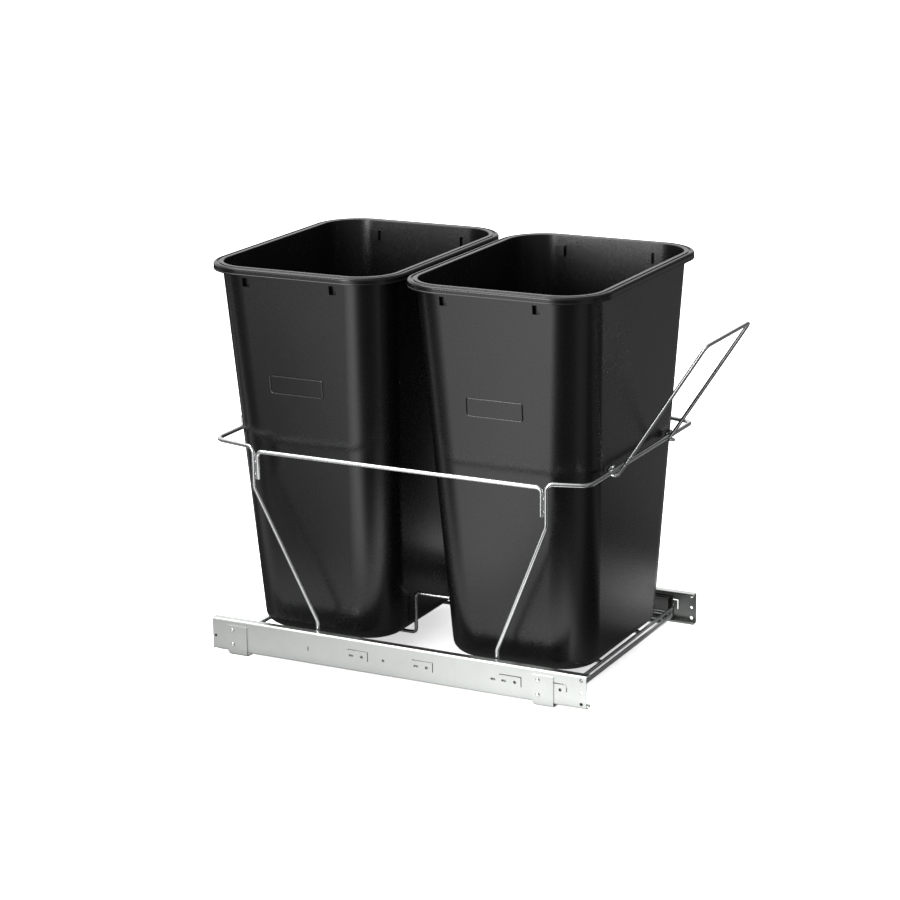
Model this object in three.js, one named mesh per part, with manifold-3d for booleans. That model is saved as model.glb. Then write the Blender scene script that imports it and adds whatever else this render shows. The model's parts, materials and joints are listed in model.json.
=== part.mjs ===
// A pull-out double waste-bin unit for a kitchen base cabinet: two tapered bins stand one behind the
// other in a chrome wire frame, and the frame rides on a pair of full-extension ball-bearing slides.
// Millimetres. X runs across the unit, its front faces -Y, and Z is up from the cabinet floor.
import * as THREE from "three";
import { mergeVertices } from "three/addons/utils/BufferGeometryUtils.js";
import Module from "manifold-3d";

const wasm = await Module();
wasm.setup();

// ---- driving dimensions ----

// Slides
const unitWidth = 373; // outer face of one slide to outer face of the other
const slideLength = 559;
const slideHeight = 45;
const slideThickness = 12.7;
const slideLift = 4.5; // underside of the slides above the cabinet floor
const sheet = 1.2; // steel of the slide members
const ballRadius = 1.75;
const ballClearance = 0.25; // play of a ball in its race
const cageSheet = 0.6;
const runningGap = 0.3; // between the web of a ball cage and the members beside it
const outerLip = 2.8; // how far the lips of the three members turn in or out
const middleLip = 1.7;
const drawerLip = 1.9;
const outerLipSetback = 0.5; // of the fixed member's lips from the drawer side of the slide
const lipGap = 0.5; // between the lips of the fixed member and those of the middle one
const middleMemberRear = 9; // each member is set back from the ends of the fixed one
const middleMemberFront = 34;
const drawerMemberRear = 10;
const drawerMemberFront = 38;
const webBend = 2.1;
const lipBend = 1.1;
const cageLength = 230;
const outerCageForward = 4.5; // middle of the cage, forward of the middle of the slide
const innerCageForward = -12;
const cagePastBalls = 2.2; // edge of a cage past its balls
const cageBend = 0.9;
const ballsPerRow = 5;
const ballPitch = 52;

// Openings in the web of the fixed member
const rearTongues = [
  { frontEdge: 241.6, length: 31, slots: 1 }, // edge, from the slide's rear end
  { frontEdge: 338.9, length: 31, slots: 1 },
];
const frontTongues = [
  { frontEdge: 91.5, length: 32, slots: 2 }, // edge, from the slide's front end
  { frontEdge: 26.9, length: 19, slots: 0 },
];
const tongueDrop = 14; // length of a tongue's front edge
const slitWidth = 1.3;
const holeLineDrop = 0.8; // line of holes, below the middle of the web
const tongueRise = 8.8; // top of a tongue, above the line of holes
const tongueHoleInset = 9.7; // behind the tongue's front edge
const tongueHoleRadius = 2.3;
const slotInset = 25.5;
const slotStep = 15.5;
const slotLength = 7;
const slotHeight = 3;
const slotRounding = 0.45; // end radius of a slot, as a share of its width
const loneHolePlace = 264.3; // from the slide's rear end
const loneHoleRadius = 2;
const loneSlitPlace = 149.8;
const loneSlitHeight = 6;
const endHoleInset = 7; // column of three holes, from the slide's front end
const endHoleEdge = 6.5; // upper and lower one, from the slide's top and underside
const endHoleRadius = 2.4;
const middleHoleRadius = 2;
const webCornerCut = 3; // rear top corner

// Rubber stop in the rear end of the fixed member
const stopInset = 1.5; // rear face, from the slide's rear end
const stopLength = 6.5;
const stopHeight = 29;
const stopThickness = 7.5;
const stopGap = 0.3;
const stopCorner = 1.5;
const stopPegRadius = 1.7;
const stopPegPlace = 4.7; // from the slide's rear end
const stopPegDrop = 3.1; // below the middle of the web
const stopHoleRadius = 2;

// Brackets that stand the slides on the cabinet floor
const bracketSheet = 1.8;
const bracketGap = 0.3; // to the slide
const bracketWidth = 29.5;
const bracketBelowTop = 7.5; // its upper edge, below the slide's top
const bracketBend = 2.4;
const bracketCorner = 6; // lower rear corner
const footSetback = 0.3; // foot's end, from the slide's inner face
const rearBracketInset = 39.8; // middle of the bracket, from the slide's end
const frontBracketInset = 60.5;
const rivetBehindMiddle = 7.1;
const rivetSpread = 20;
const rivetDrop = 1.9; // middle of the pair, below the middle of the slide
const rivetRadius = 1.9;
const rivetHoleRadius = 2.2;
const rivetSink = 0.2; // its end, below the inner face of the web
const rivetHeadRadius = 3.1;
const rivetHeadHeight = 1.3;
const headGap = 0.3; // under the head of a rivet or screw

// Wire frame
const frameWire = 6; // diameter of the base loop, end loops and side rails
const gridWire = 5; // diameter of the cross wires on the base loop
const weldGap = 0.3; // between two wires that are welded together
const baseLoopHeight = 19.5; // wire centre above the cabinet floor
const baseLoopInset = 27; // wire centre, from the slides' ends
const baseBend = 12;
const toeWireInset = 4.5; // second front wire, behind the base loop's front
const gridOverrun = 3.5; // wire end past the wire it crosses
const underBinSpread = 129; // between the two wires under the bins
const humpClearance = 2.5; // between the bump in the wires and the bins beside it
const humpHeight = 56.7;
const humpBend = 6;
const ringHeight = 298; // wire centre of the end loops above the cabinet floor
const ringFrontClearance = 7.2; // ring's end wires to the bins
const ringRearClearance = 11.4;
const legInset = 1.5; // upper leg, in from the slide's outer face
const ringCornerInset = 15; // ring's corners, in from the legs
const ringBend = 16;
const legTopBend = 9;
const legBend = 15;
const frontLegInset = 55.5; // upper legs, from the slides' ends
const rearLegInset = 74;
const frontFootInset = 135; // feet, from the slides' ends
const rearFootInset = 156;
const kneeDrop = 55.5; // from the ring to where a leg slants away
const shinRise = 10.5; // above the slides, where a leg turns down to its foot
const railDrop = 5.5; // side rail under the end loops
const railTail = 38; // bent-down end of a side rail
const railBend = 7;

// Tabs that join the frame to the slides
const tabLength = 44;
const tabSheet = 2;
const tabBelowWire = 5.5; // lower edge, below the centre of the base loop
const tabAboveScrews = 6.5;
const tabCorner = 3;
const tabScrewSpread = 28;
const tabScrewRise = 4; // above the middle of the slide
const screwRadius = 1.9;
const screwReach = 4; // past the inner face of the drawer member
const screwHeadRadius = 3.6;
const screwHeadHeight = 2.2;
const screwHoleRadius = 2.25;

// Bail handle and the hooks of the rear wire
const bailWire = 5;
const bailWidth = 150; // leg to leg
const bailLength = 201.7; // of a leg
const bailLean = 33.4; // degrees forward of upright, at rest
const bailShoulder = 20; // sideways run between the hook and the leg
const bailShoulderBend = 4.4;
const bailHookTip = 1.5; // tip over the ring wire, forward of that wire's centre
const bailHookReach = 5.5; // hook under the ring wire, forward of that wire's centre
const bailFootForward = 6.5; // foot of a leg, forward of the centre of the ring wire
const bailFootRise = 1.5; // and above it
const bailCorner = 8;
const rearHookSpread = 187;
const rearHookWire = 4;
const rearHookTip = 2;
const rearHookRise = 14;

// Bins
const rimPastSlides = 6.5; // past the slides' outer faces
const rimPastFront = 10.9; // past the slides' ends
const rimPastRear = 2.7;
const binGap = 7.8; // between the two rims
const binHeight = 512;
const binWall = 2.2;
const binEndTaper = 44; // lean of the walls from bottom to top, across the unit
const binSideTaper = 25; // and along it
const binCorner = 52; // of the body
const binEdge = 16; // where the body turns into the bottom
const binRest = 5; // width of the ring it stands on
const bottomRecess = 3;
const rimOverhang = 12.3; // past the body
const rimDepth = 9.5;
const rimSheet = 2;
const rimRound = 1.2;
const rimGroove = 0.7; // depth of the groove round the rim's top
const rimGrooveEnds = [3, 8.5]; // outward from the body
const pocketWidth = 10.5; // small recesses under the rim
const pocketHeight = 12;
const pocketDepth = 5;
const pocketDrop = 15; // below the rim's top
const pocketSpread = 130;
const pocketShift = 6; // middle of a pair, behind the middle of the bin
const pocketBite = 0.4; // boss set into the wall

// Facets
const wireSides = 8;
const bendSteps = 3;
const cornerSteps = 6;
const edgeSteps = 3;
const holeSides = 8;
const headSides = 10;
const ballSides = 6;

// ---- colours ----

const zinc = new THREE.MeshStandardMaterial({ color: 0xc3c8c2, roughness: 0.35, metalness: 0.9 });
const brightSteel = new THREE.MeshStandardMaterial({ color: 0xb8bab8, roughness: 0.2, metalness: 1 });
const chrome = new THREE.MeshStandardMaterial({ color: 0xd8dadc, roughness: 0.08, metalness: 1 });
const blackPlastic = new THREE.MeshStandardMaterial({ color: 0x2b2c2e, roughness: 0.5, metalness: 0 });
const rubber = new THREE.MeshStandardMaterial({ color: 0x1a1a1a, roughness: 0.8, metalness: 0 });

// ---- solids ----

// Turns a closed geometry into a solid that can be joined and cut.
function solidOf(geometry) {
  const bare = geometry.clone();
  bare.deleteAttribute("normal");
  bare.deleteAttribute("uv");
  const merged = mergeVertices(bare, 1e-4);
  const vertProperties = new Float32Array(merged.attributes.position.array);
  const triVerts = new Uint32Array(merged.index.array);
  return new wasm.Manifold(new wasm.Mesh({ numProp: 3, vertProperties, triVerts }));
}

function geometryOf(solid) {
  const made = solid.getMesh();
  const geometry = new THREE.BufferGeometry();
  geometry.setAttribute("position", new THREE.BufferAttribute(made.vertProperties, 3));
  geometry.setIndex(new THREE.BufferAttribute(made.triVerts, 1));
  geometry.computeVertexNormals();
  return geometry;
}

// Joins the added pieces to the body, then cuts the removed ones out of it.
function joinAndCut(body, added, removed) {
  let solid = solidOf(body);
  for (const piece of added) solid = solid.add(solidOf(piece));
  for (const piece of removed) solid = solid.subtract(solidOf(piece));
  return geometryOf(solid);
}

function block(x0, x1, y0, y1, z0, z1) {
  const geometry = new THREE.BoxGeometry(x1 - x0, y1 - y0, z1 - z0);
  geometry.translate((x0 + x1) / 2, (y0 + y1) / 2, (z0 + z1) / 2);
  return geometry;
}

// The corner points of a rectangle with round corners.
function roundedRectangle(left, right, low, high, radius, steps) {
  const centres = [
    [right - radius, low + radius],
    [right - radius, high - radius],
    [left + radius, high - radius],
    [left + radius, low + radius],
  ];
  const points = [];
  centres.forEach(([x, y], quarter) => {
    for (let k = 0; k <= steps; k++) {
      const angle = ((quarter - 1 + k / steps) * Math.PI) / 2;
      points.push(new THREE.Vector2(x + radius * Math.cos(angle), y + radius * Math.sin(angle)));
    }
  });
  return points;
}

// Runs a section that lies in the X-Z plane along Y, forward from its rear end.
function runAlongY(points, length, rearY) {
  const shape = new THREE.Shape(points);
  const geometry = new THREE.ExtrudeGeometry(shape, { depth: length, bevelEnabled: false });
  geometry.rotateX(Math.PI / 2);
  geometry.translate(0, rearY, 0);
  return geometry;
}

// Runs an outline that lies in the Y-Z plane along X, from x0 to x1.
function runAlongX(points, x0, x1) {
  const shape = new THREE.Shape(points);
  const geometry = new THREE.ExtrudeGeometry(shape, { depth: x1 - x0, bevelEnabled: false });
  geometry.rotateZ(Math.PI / 2);
  geometry.rotateY(Math.PI / 2);
  geometry.translate(x0, 0, 0);
  return geometry;
}

function rodAlongX(radius, x0, x1, y, z) {
  const geometry = new THREE.CylinderGeometry(radius, radius, x1 - x0, holeSides);
  geometry.rotateZ(Math.PI / 2);
  geometry.translate((x0 + x1) / 2, y, z);
  return geometry;
}

// A shank along X that ends at x = 0, with a domed head past its other end. A negative length puts
// the head on the -X side.
function headedPin(shankRadius, length, headRadius, headHeight) {
  const shank = Math.abs(length);
  const profile = [
    [0, 0],
    [shankRadius, 0],
    [shankRadius, shank],
    [headRadius, shank],
    [headRadius, shank + headHeight * 0.45],
    [headRadius * 0.6, shank + headHeight],
    [0, shank + headHeight],
  ];
  const points = profile.map(([radius, along]) => new THREE.Vector2(radius, along));
  const geometry = new THREE.LatheGeometry(points, headSides);
  geometry.rotateZ((-Math.PI / 2) * Math.sign(length));
  return geometry;
}

// ---- bent wire and bent sheet ----

// Follows straight runs between corner points, with a round bend at each corner, and gives the stations
// where the section stands and the direction there. A corner can state its own bend radius.
function bentPath(corners, usualBend) {
  const points = corners.map(({ at }) => new THREE.Vector3(...at));
  const last = points.length - 1;
  const heading = (i) => points[i + 1].clone().sub(points[i]).normalize();
  const stations = [{ point: points[0], direction: heading(0) }];
  for (let i = 1; i < last; i++) {
    const before = heading(i - 1);
    const after = heading(i);
    const turn = before.angleTo(after);
    const radius = corners[i].bend ?? usualBend;
    const start = points[i].clone().addScaledVector(before, -radius * Math.tan(turn / 2));
    const inward = after.clone().addScaledVector(before, -after.dot(before)).normalize();
    for (let k = 0; k <= bendSteps; k++) {
      const angle = (turn * k) / bendSteps;
      const point = start.clone().addScaledVector(before, radius * Math.sin(angle));
      point.addScaledVector(inward, radius * (1 - Math.cos(angle)));
      const direction = before.clone().multiplyScalar(Math.cos(angle));
      direction.addScaledVector(inward, Math.sin(angle));
      stations.push({ point, direction });
    }
  }
  stations.push({ point: points[last], direction: heading(last - 1) });
  return stations;
}

// The centre line of a bent wire, with one step of the sweep from each station to the next.
class WireLine extends THREE.Curve {
  constructor(stations) {
    super();
    this.stations = stations;
  }

  blend(t, quality, target) {
    const place = t * (this.stations.length - 1);
    const i = Math.min(Math.floor(place), this.stations.length - 2);
    return target.lerpVectors(this.stations[i][quality], this.stations[i + 1][quality], place - i);
  }

  getPoint(t, target = new THREE.Vector3()) {
    return this.blend(t, "point", target);
  }

  getPointAt(t, target = new THREE.Vector3()) {
    return this.blend(t, "point", target);
  }

  getTangentAt(t, target = new THREE.Vector3()) {
    return this.blend(t, "direction", target).normalize();
  }
}

function bentWire(corners, diameter, usualBend) {
  const stations = bentPath(corners, usualBend);
  const section = [];
  for (let i = 0; i < wireSides; i++) {
    const angle = (i / wireSides) * 2 * Math.PI;
    section.push(new THREE.Vector2(Math.cos(angle), Math.sin(angle)).multiplyScalar(diameter / 2));
  }
  return new THREE.ExtrudeGeometry(new THREE.Shape(section), {
    steps: stations.length - 1,
    extrudePath: new WireLine(stations),
    bevelEnabled: false,
  });
}

// A wire that is the same on both sides of the unit: its corners are given for one side, from the
// end of the wire to the last corner before the middle.
function mirroredWire(corners, diameter, usualBend) {
  const otherSide = corners.map(({ at: [x, y, z], bend }) => ({ at: [-x, y, z], bend }));
  return bentWire([...corners, ...otherSide.reverse()], diameter, usualBend);
}

// The outline of a strip bent along corners in one plane.
function bentStrip(corners, thickness, usualBend) {
  const stations = bentPath(corners, usualBend);
  const side = (offset) =>
    stations.map(({ point, direction }) => {
      return new THREE.Vector2(point.x - direction.y * offset, point.y + direction.x * offset);
    });
  return [...side(thickness / 2), ...side(-thickness / 2).reverse()];
}

// ---- slides ----
// A slide is drawn with its outer face at x = 0, its rear end at y = 0 and its underside at z = 0.

const raceStep = 2 * (ballRadius + ballClearance) + sheet; // flange to flange
const webStep = 2 * runningGap + cageSheet + sheet; // web to web
const outerFlange = sheet / 2;
const middleFlangeZ = outerFlange + raceStep;
const drawerFlangeZ = middleFlangeZ + raceStep;
const outerWeb = sheet / 2;
const middleWeb = outerWeb + webStep;
const drawerEdge = middleWeb + webStep;
const drawerWeb = slideThickness - sheet / 2;
const outerEdge = slideThickness - outerLipSetback - sheet / 2;
const middleEdge = outerEdge - sheet - lipGap;
const webMiddle = slideHeight / 2;
const screwZ = webMiddle + tabScrewRise;
const rivetHeights = [-1, 1].map((end) => webMiddle - rivetDrop + (end * rivetSpread) / 2);

// A channel with its web at one depth, its flanges running to another, and lips at their edges: turned
// to the middle of the slide where lip is above zero, away from it where lip is below zero.
function channel(web, edge, flangeZ, lip) {
  const lower = [
    { at: [edge, flangeZ + lip, 0] },
    { at: [edge, flangeZ, 0], bend: lipBend },
    { at: [web, flangeZ, 0] },
  ];
  const upper = lower.map(({ at: [x, z], bend }) => ({ at: [x, slideHeight - z, 0], bend }));
  return bentStrip([...lower, ...upper.reverse()], sheet, webBend);
}

// The slit round the top and front of a tongue that is pressed out of the web.
function tongueSlit(frontY, length, top) {
  return [
    new THREE.Vector2(frontY + length, top),
    new THREE.Vector2(frontY + length, top - slitWidth),
    new THREE.Vector2(frontY + slitWidth, top - slitWidth),
    new THREE.Vector2(frontY + slitWidth, top - tongueDrop),
    new THREE.Vector2(frontY, top - tongueDrop),
    new THREE.Vector2(frontY, top),
  ];
}

function cabinetMember() {
  const holeZ = webMiddle - holeLineDrop;
  const cuts = [];
  const cutOutline = (points) => cuts.push(runAlongX(points, -sheet, 2 * sheet));
  const cutHole = (y, z, radius) => cuts.push(rodAlongX(radius, -sheet, 2 * sheet, y, z));
  const cutSlot = (middleY, length, height) => {
    const [y0, y1] = [middleY - length / 2, middleY + length / 2];
    const [z0, z1] = [holeZ - height / 2, holeZ + height / 2];
    cutOutline(roundedRectangle(y0, y1, z0, z1, slotRounding * Math.min(length, height), 2));
  };
  const tongues = [
    ...rearTongues.map((tongue) => ({ ...tongue, frontY: -tongue.frontEdge })),
    ...frontTongues.map((tongue) => ({ ...tongue, frontY: tongue.frontEdge - slideLength })),
  ];
  for (const { frontY, length, slots } of tongues) {
    cutOutline(tongueSlit(frontY, length, holeZ + tongueRise));
    cutHole(frontY + tongueHoleInset, holeZ, tongueHoleRadius);
    for (let k = 0; k < slots; k++) cutSlot(frontY + slotInset + k * slotStep, slotLength, slotHeight);
  }
  cutHole(-loneHolePlace, holeZ, loneHoleRadius);
  cutSlot(-loneSlitPlace, slitWidth, loneSlitHeight);
  cutHole(-stopPegPlace, webMiddle - stopPegDrop, stopHoleRadius);
  cutHole(endHoleInset - slideLength, endHoleEdge, endHoleRadius);
  cutHole(endHoleInset - slideLength, holeZ, middleHoleRadius);
  cutHole(endHoleInset - slideLength, slideHeight - endHoleEdge, endHoleRadius);
  for (const middleY of bracketPlaces()) {
    for (const z of rivetHeights) cutHole(middleY + rivetBehindMiddle, z, rivetHoleRadius);
  }
  cutOutline([
    new THREE.Vector2(-webCornerCut, slideHeight),
    new THREE.Vector2(0, slideHeight - webCornerCut),
    new THREE.Vector2(webCornerCut, slideHeight - webCornerCut),
    new THREE.Vector2(webCornerCut, slideHeight + webCornerCut),
    new THREE.Vector2(-webCornerCut, slideHeight + webCornerCut),
  ]);
  const section = channel(outerWeb, outerEdge, outerFlange, outerLip);
  return joinAndCut(runAlongY(section, slideLength, 0), [], cuts);
}

function middleMember() {
  const section = channel(middleWeb, middleEdge, middleFlangeZ, -middleLip);
  const length = slideLength - middleMemberRear - middleMemberFront;
  return runAlongY(section, length, -middleMemberRear);
}

function drawerMember() {
  const section = channel(drawerWeb, drawerEdge, drawerFlangeZ, -drawerLip);
  const length = slideLength - drawerMemberRear - drawerMemberFront;
  const holes = screwPlaces().map((y) => {
    return rodAlongX(screwHoleRadius, drawerWeb - sheet, drawerWeb + sheet, y, screwZ);
  });
  return joinAndCut(runAlongY(section, length, -drawerMemberRear), [], holes);
}

// A sheet cage that holds a row of balls in each of its flanges.
function ballCage(web, ballDepth, flangeZ, forward) {
  const ballZ = flangeZ + raceStep / 2;
  const edge = ballDepth + cagePastBalls;
  const corners = [
    { at: [edge, ballZ, 0] },
    { at: [web, ballZ, 0] },
    { at: [web, slideHeight - ballZ, 0] },
    { at: [edge, slideHeight - ballZ, 0] },
  ];
  const rearY = cageLength / 2 - slideLength / 2 - forward;
  const cage = runAlongY(bentStrip(corners, cageSheet, cageBend), cageLength, rearY);
  const balls = [];
  for (let i = 0; i < ballsPerRow; i++) {
    const along = (i - (ballsPerRow - 1) / 2) * ballPitch;
    for (const z of [ballZ, slideHeight - ballZ]) {
      const ball = new THREE.SphereGeometry(ballRadius, ballSides, ballSides - 2);
      ball.rotateX(Math.PI / 2);
      ball.translate(ballDepth, along - slideLength / 2 - forward, z);
      balls.push(ball);
    }
  }
  return joinAndCut(cage, balls, []);
}

function stopBumper() {
  const x0 = sheet + stopGap;
  const z0 = (slideHeight - stopHeight) / 2;
  const outline = roundedRectangle(
    -stopInset - stopLength,
    -stopInset,
    z0,
    z0 + stopHeight,
    stopCorner,
    2,
  );
  const body = runAlongX(outline, x0, x0 + stopThickness);
  const peg = rodAlongX(stopPegRadius, 0, x0 + 1, -stopPegPlace, webMiddle - stopPegDrop);
  return joinAndCut(body, [peg], []);
}

// ---- brackets ----

function bracketPlaces() {
  return [-rearBracketInset, frontBracketInset - slideLength];
}

function bracket() {
  const plateX = -bracketGap - bracketSheet / 2;
  const top = slideHeight - bracketBelowTop;
  const footZ = bracketSheet / 2 - slideLift;
  const footEnd = slideThickness - footSetback;
  const corners = [
    { at: [plateX, top, 0] },
    { at: [plateX, footZ, 0] },
    { at: [footEnd, footZ, 0] },
  ];
  const half = bracketWidth / 2;
  const strip = runAlongY(bentStrip(corners, bracketSheet, bracketBend), bracketWidth, half);
  const outline = runAlongX(bracketOutline(half, -slideLift, top), plateX - bracketSheet, footEnd + 1);
  let solid = solidOf(strip).intersect(solidOf(outline));
  for (const z of rivetHeights) {
    const hole = rodAlongX(rivetHoleRadius, plateX - bracketSheet, 0, rivetBehindMiddle, z);
    solid = solid.subtract(solidOf(hole));
  }
  return geometryOf(solid);
}

// A rectangle whose lower rear corner is round.
function bracketOutline(half, low, top) {
  const points = [new THREE.Vector2(half, top), new THREE.Vector2(-half, top), new THREE.Vector2(-half, low)];
  for (let k = 0; k <= edgeSteps; k++) {
    const angle = ((k / edgeSteps - 1) * Math.PI) / 2;
    const y = half - bracketCorner + bracketCorner * Math.cos(angle);
    points.push(new THREE.Vector2(y, low + bracketCorner + bracketCorner * Math.sin(angle)));
  }
  return points;
}

// ---- tabs and fasteners ----

function tabPlaces() {
  return [-rearFootInset, frontFootInset - slideLength];
}

function screwPlaces() {
  return tabPlaces().flatMap((y) => [y - tabScrewSpread / 2, y + tabScrewSpread / 2]);
}

function tab() {
  const x0 = slideThickness + weldGap;
  const half = tabLength / 2;
  const low = baseLoopHeight - slideLift - tabBelowWire;
  const outline = roundedRectangle(-half, half, low, screwZ + tabAboveScrews, tabCorner, 3);
  const plate = runAlongX(outline, x0, x0 + tabSheet);
  const holes = [-1, 1].map((end) => {
    const y = (end * tabScrewSpread) / 2;
    return rodAlongX(screwHoleRadius, x0 - tabSheet, x0 + 2 * tabSheet, y, screwZ);
  });
  return joinAndCut(plate, [], holes);
}

// ---- one slide with its brackets, tabs and fasteners ----

const shapes = {
  cabinet_member: cabinetMember(),
  middle_member: middleMember(),
  drawer_member: drawerMember(),
  outer_ball_cage: ballCage(
    outerWeb + webStep / 2,
    (middleWeb + middleEdge) / 2,
    outerFlange,
    outerCageForward,
  ),
  inner_ball_cage: ballCage(
    middleWeb + webStep / 2,
    (drawerEdge + drawerWeb) / 2,
    middleFlangeZ,
    innerCageForward,
  ),
  stop_bumper: stopBumper(),
};

const bracketShape = bracket();
const tabShape = tab();
const rivetTail = sheet - rivetSink;
const rivetLength = rivetTail + bracketGap + bracketSheet + headGap;
const rivetShape = headedPin(rivetRadius, -rivetLength, rivetHeadRadius, rivetHeadHeight);
const screwEnd = slideThickness - sheet - screwReach;
const screwLength = screwReach + sheet + weldGap + tabSheet + headGap;
const screwShape = headedPin(screwRadius, screwLength, screwHeadRadius, screwHeadHeight);

function slideAssembly(side) {
  const group = new THREE.Group();
  const add = (name, geometry, material, x = 0, y = 0, z = 0) => {
    const mesh = new THREE.Mesh(geometry, material);
    mesh.name = `${side}_${name}`;
    mesh.position.set(x, y, z);
    group.add(mesh);
  };
  for (const [name, geometry] of Object.entries(shapes)) {
    add(name, geometry, { stop_bumper: rubber }[name] ?? zinc);
  }
  bracketPlaces().forEach((y, i) => {
    const place = ["rear", "front"][i];
    add(`${place}_bracket`, bracketShape, zinc, 0, y);
    rivetHeights.forEach((z, k) => {
      const name = `${place}_${["lower", "upper"][k]}_rivet`;
      add(name, rivetShape, brightSteel, rivetTail, y + rivetBehindMiddle, z);
    });
  });
  tabPlaces().forEach((y, i) => add(`${["rear", "front"][i]}_tab`, tabShape, chrome, 0, y));
  screwPlaces().forEach((y, i) => {
    add(`tab_screw_${i + 1}`, screwShape, brightSteel, screwEnd, y, screwZ);
  });
  return group;
}

// ---- wire frame ----
// The frame is drawn with y = 0 at the middle of the slides.

const halfSlide = slideLength / 2;
const baseX = unitWidth / 2 - slideThickness - tabSheet - 2 * weldGap - frameWire / 2;
const baseY = halfSlide - baseLoopInset;
const gridZ = baseLoopHeight + frameWire / 2 + gridWire / 2 + weldGap;
const toeY = toeWireInset - baseY;
const legX = unitWidth / 2 - legInset;

// The bins' rims along Y, and the bins' walls at a height above their bottom
const rimFrontY = -halfSlide - rimPastFront;
const rimRearY = halfSlide + rimPastRear;
const rimWidth = (rimRearY - rimFrontY - binGap) / 2;
const binsMiddle = (rimRearY + rimFrontY) / 2;
const frontBinY = rimFrontY + rimWidth / 2;
const rearBinY = rimRearY - rimWidth / 2;
const binZ = gridZ + gridWire / 2 + weldGap;
const wallX = (z) => unitWidth / 2 + rimPastSlides - rimOverhang - binEndTaper * (1 - z / binHeight);
const wallY = (z) => rimWidth / 2 - rimOverhang - binSideTaper * (1 - z / binHeight);

const wallAtRing = wallY(ringHeight - binZ);
const ringFrontY = frontBinY - wallAtRing - ringFrontClearance - frameWire / 2;
const ringRearY = rearBinY + wallAtRing + ringRearClearance + frameWire / 2;

// One bent wire whose ends butt in the middle of the rear.
function baseLoop() {
  return mirroredWire(
    [
      { at: [weldGap / 2, baseY, baseLoopHeight] },
      { at: [baseX, baseY, baseLoopHeight] },
      { at: [baseX, -baseY, baseLoopHeight] },
    ],
    frameWire,
    baseBend,
  );
}

function toeWire() {
  return mirroredWire([{ at: [baseX + gridOverrun, toeY, gridZ] }], gridWire, 0);
}

// Runs from front to rear under the bins, with a bump that stands between them.
function underBinWire() {
  const front = toeY + gridWire / 2 + weldGap;
  const humpZ = gridZ + humpHeight;
  const wallAtHump = rearBinY - wallY(humpZ - binZ);
  const humpHalf = wallAtHump - binsMiddle - humpClearance - gridWire / 2;
  const corners = [
    { at: [0, front, gridZ] },
    { at: [0, binsMiddle - humpHalf, gridZ] },
    { at: [0, binsMiddle - humpHalf, humpZ] },
    { at: [0, binsMiddle + humpHalf, humpZ] },
    { at: [0, binsMiddle + humpHalf, gridZ] },
    { at: [0, baseY + gridOverrun, gridZ] },
  ];
  return bentWire(corners, gridWire, humpBend);
}

// Stands on the base loop, slants out to an upright leg and crosses the end of the unit.
function endLoop(footY, legY, crossY) {
  const footZ = baseLoopHeight + frameWire / 2 + weldGap;
  return mirroredWire(
    [
      { at: [baseX, footY, footZ] },
      { at: [baseX, footY, slideLift + slideHeight + shinRise] },
      { at: [legX, legY, ringHeight - kneeDrop] },
      { at: [legX, legY, ringHeight], bend: legTopBend },
      { at: [legX - ringCornerInset, crossY, ringHeight], bend: ringBend },
    ],
    frameWire,
    legBend,
  );
}

// Joins the two end loops along one side. Its bent-down tails lie against the legs.
function sideRail() {
  const beside = frameWire + weldGap;
  const front = frontLegInset - halfSlide + beside;
  const rear = halfSlide - rearLegInset - beside;
  const height = ringHeight - railDrop;
  const corners = [
    { at: [0, front, height - railTail] },
    { at: [0, front, height] },
    { at: [0, rear, height] },
    { at: [0, rear, height - railTail] },
  ];
  return bentWire(corners, frameWire, railBend);
}

// A hook under the rear wire of the ring, drawn with that wire's centre at y = 0 and z = 0.
function rearHook() {
  const round = (frameWire + rearHookWire) / 2 + weldGap;
  const corners = [
    { at: [0, -round, rearHookTip] },
    { at: [0, -round, -round] },
    { at: [0, round, -round] },
    { at: [0, round, rearHookRise] },
  ];
  return bentWire(corners, rearHookWire, round);
}

// The handle hangs on the front wire of the ring by two hooks, drawn with that wire's centre at y = 0
// and z = 0. A hook comes from over the wire, round behind it and out below it. Its shoulder then runs
// in to the foot of a leg.
function bailHandle() {
  const round = (frameWire + bailWire) / 2 + weldGap;
  const lean = (bailLean * Math.PI) / 180;
  const legHalf = bailWidth / 2;
  const hookX = legHalf + bailShoulder;
  const topY = -bailFootForward - bailLength * Math.sin(lean);
  const topZ = bailLength * Math.cos(lean) + bailFootRise;
  return mirroredWire(
    [
      { at: [hookX, -bailHookTip, round] },
      { at: [hookX, round, round] },
      { at: [hookX, round, -round] },
      { at: [hookX, -bailHookReach, -round], bend: bailShoulderBend },
      { at: [legHalf, -bailFootForward, bailFootRise], bend: bailShoulderBend },
      { at: [legHalf, topY, topZ], bend: bailCorner },
    ],
    bailWire,
    round,
  );
}

// ---- bins ----

// Skins a row of rings that have the same number of points, and closes the first and last flat.
function loft(rings) {
  const count = rings[0].length;
  const last = (rings.length - 1) * count;
  const triangles = [];
  for (let i = 0; i < last; i += count) {
    for (let j = 0; j < count; j++) {
      const next = (j + 1) % count;
      triangles.push(i + j, i + next, i + next + count);
      triangles.push(i + j, i + next + count, i + j + count);
    }
  }
  for (let j = 1; j + 1 < count; j++) {
    triangles.push(0, j + 1, j);
    triangles.push(last, last + j, last + j + 1);
  }
  const geometry = new THREE.BufferGeometry();
  geometry.setFromPoints(rings.flat());
  geometry.setIndex(triangles);
  return geometry;
}

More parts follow.
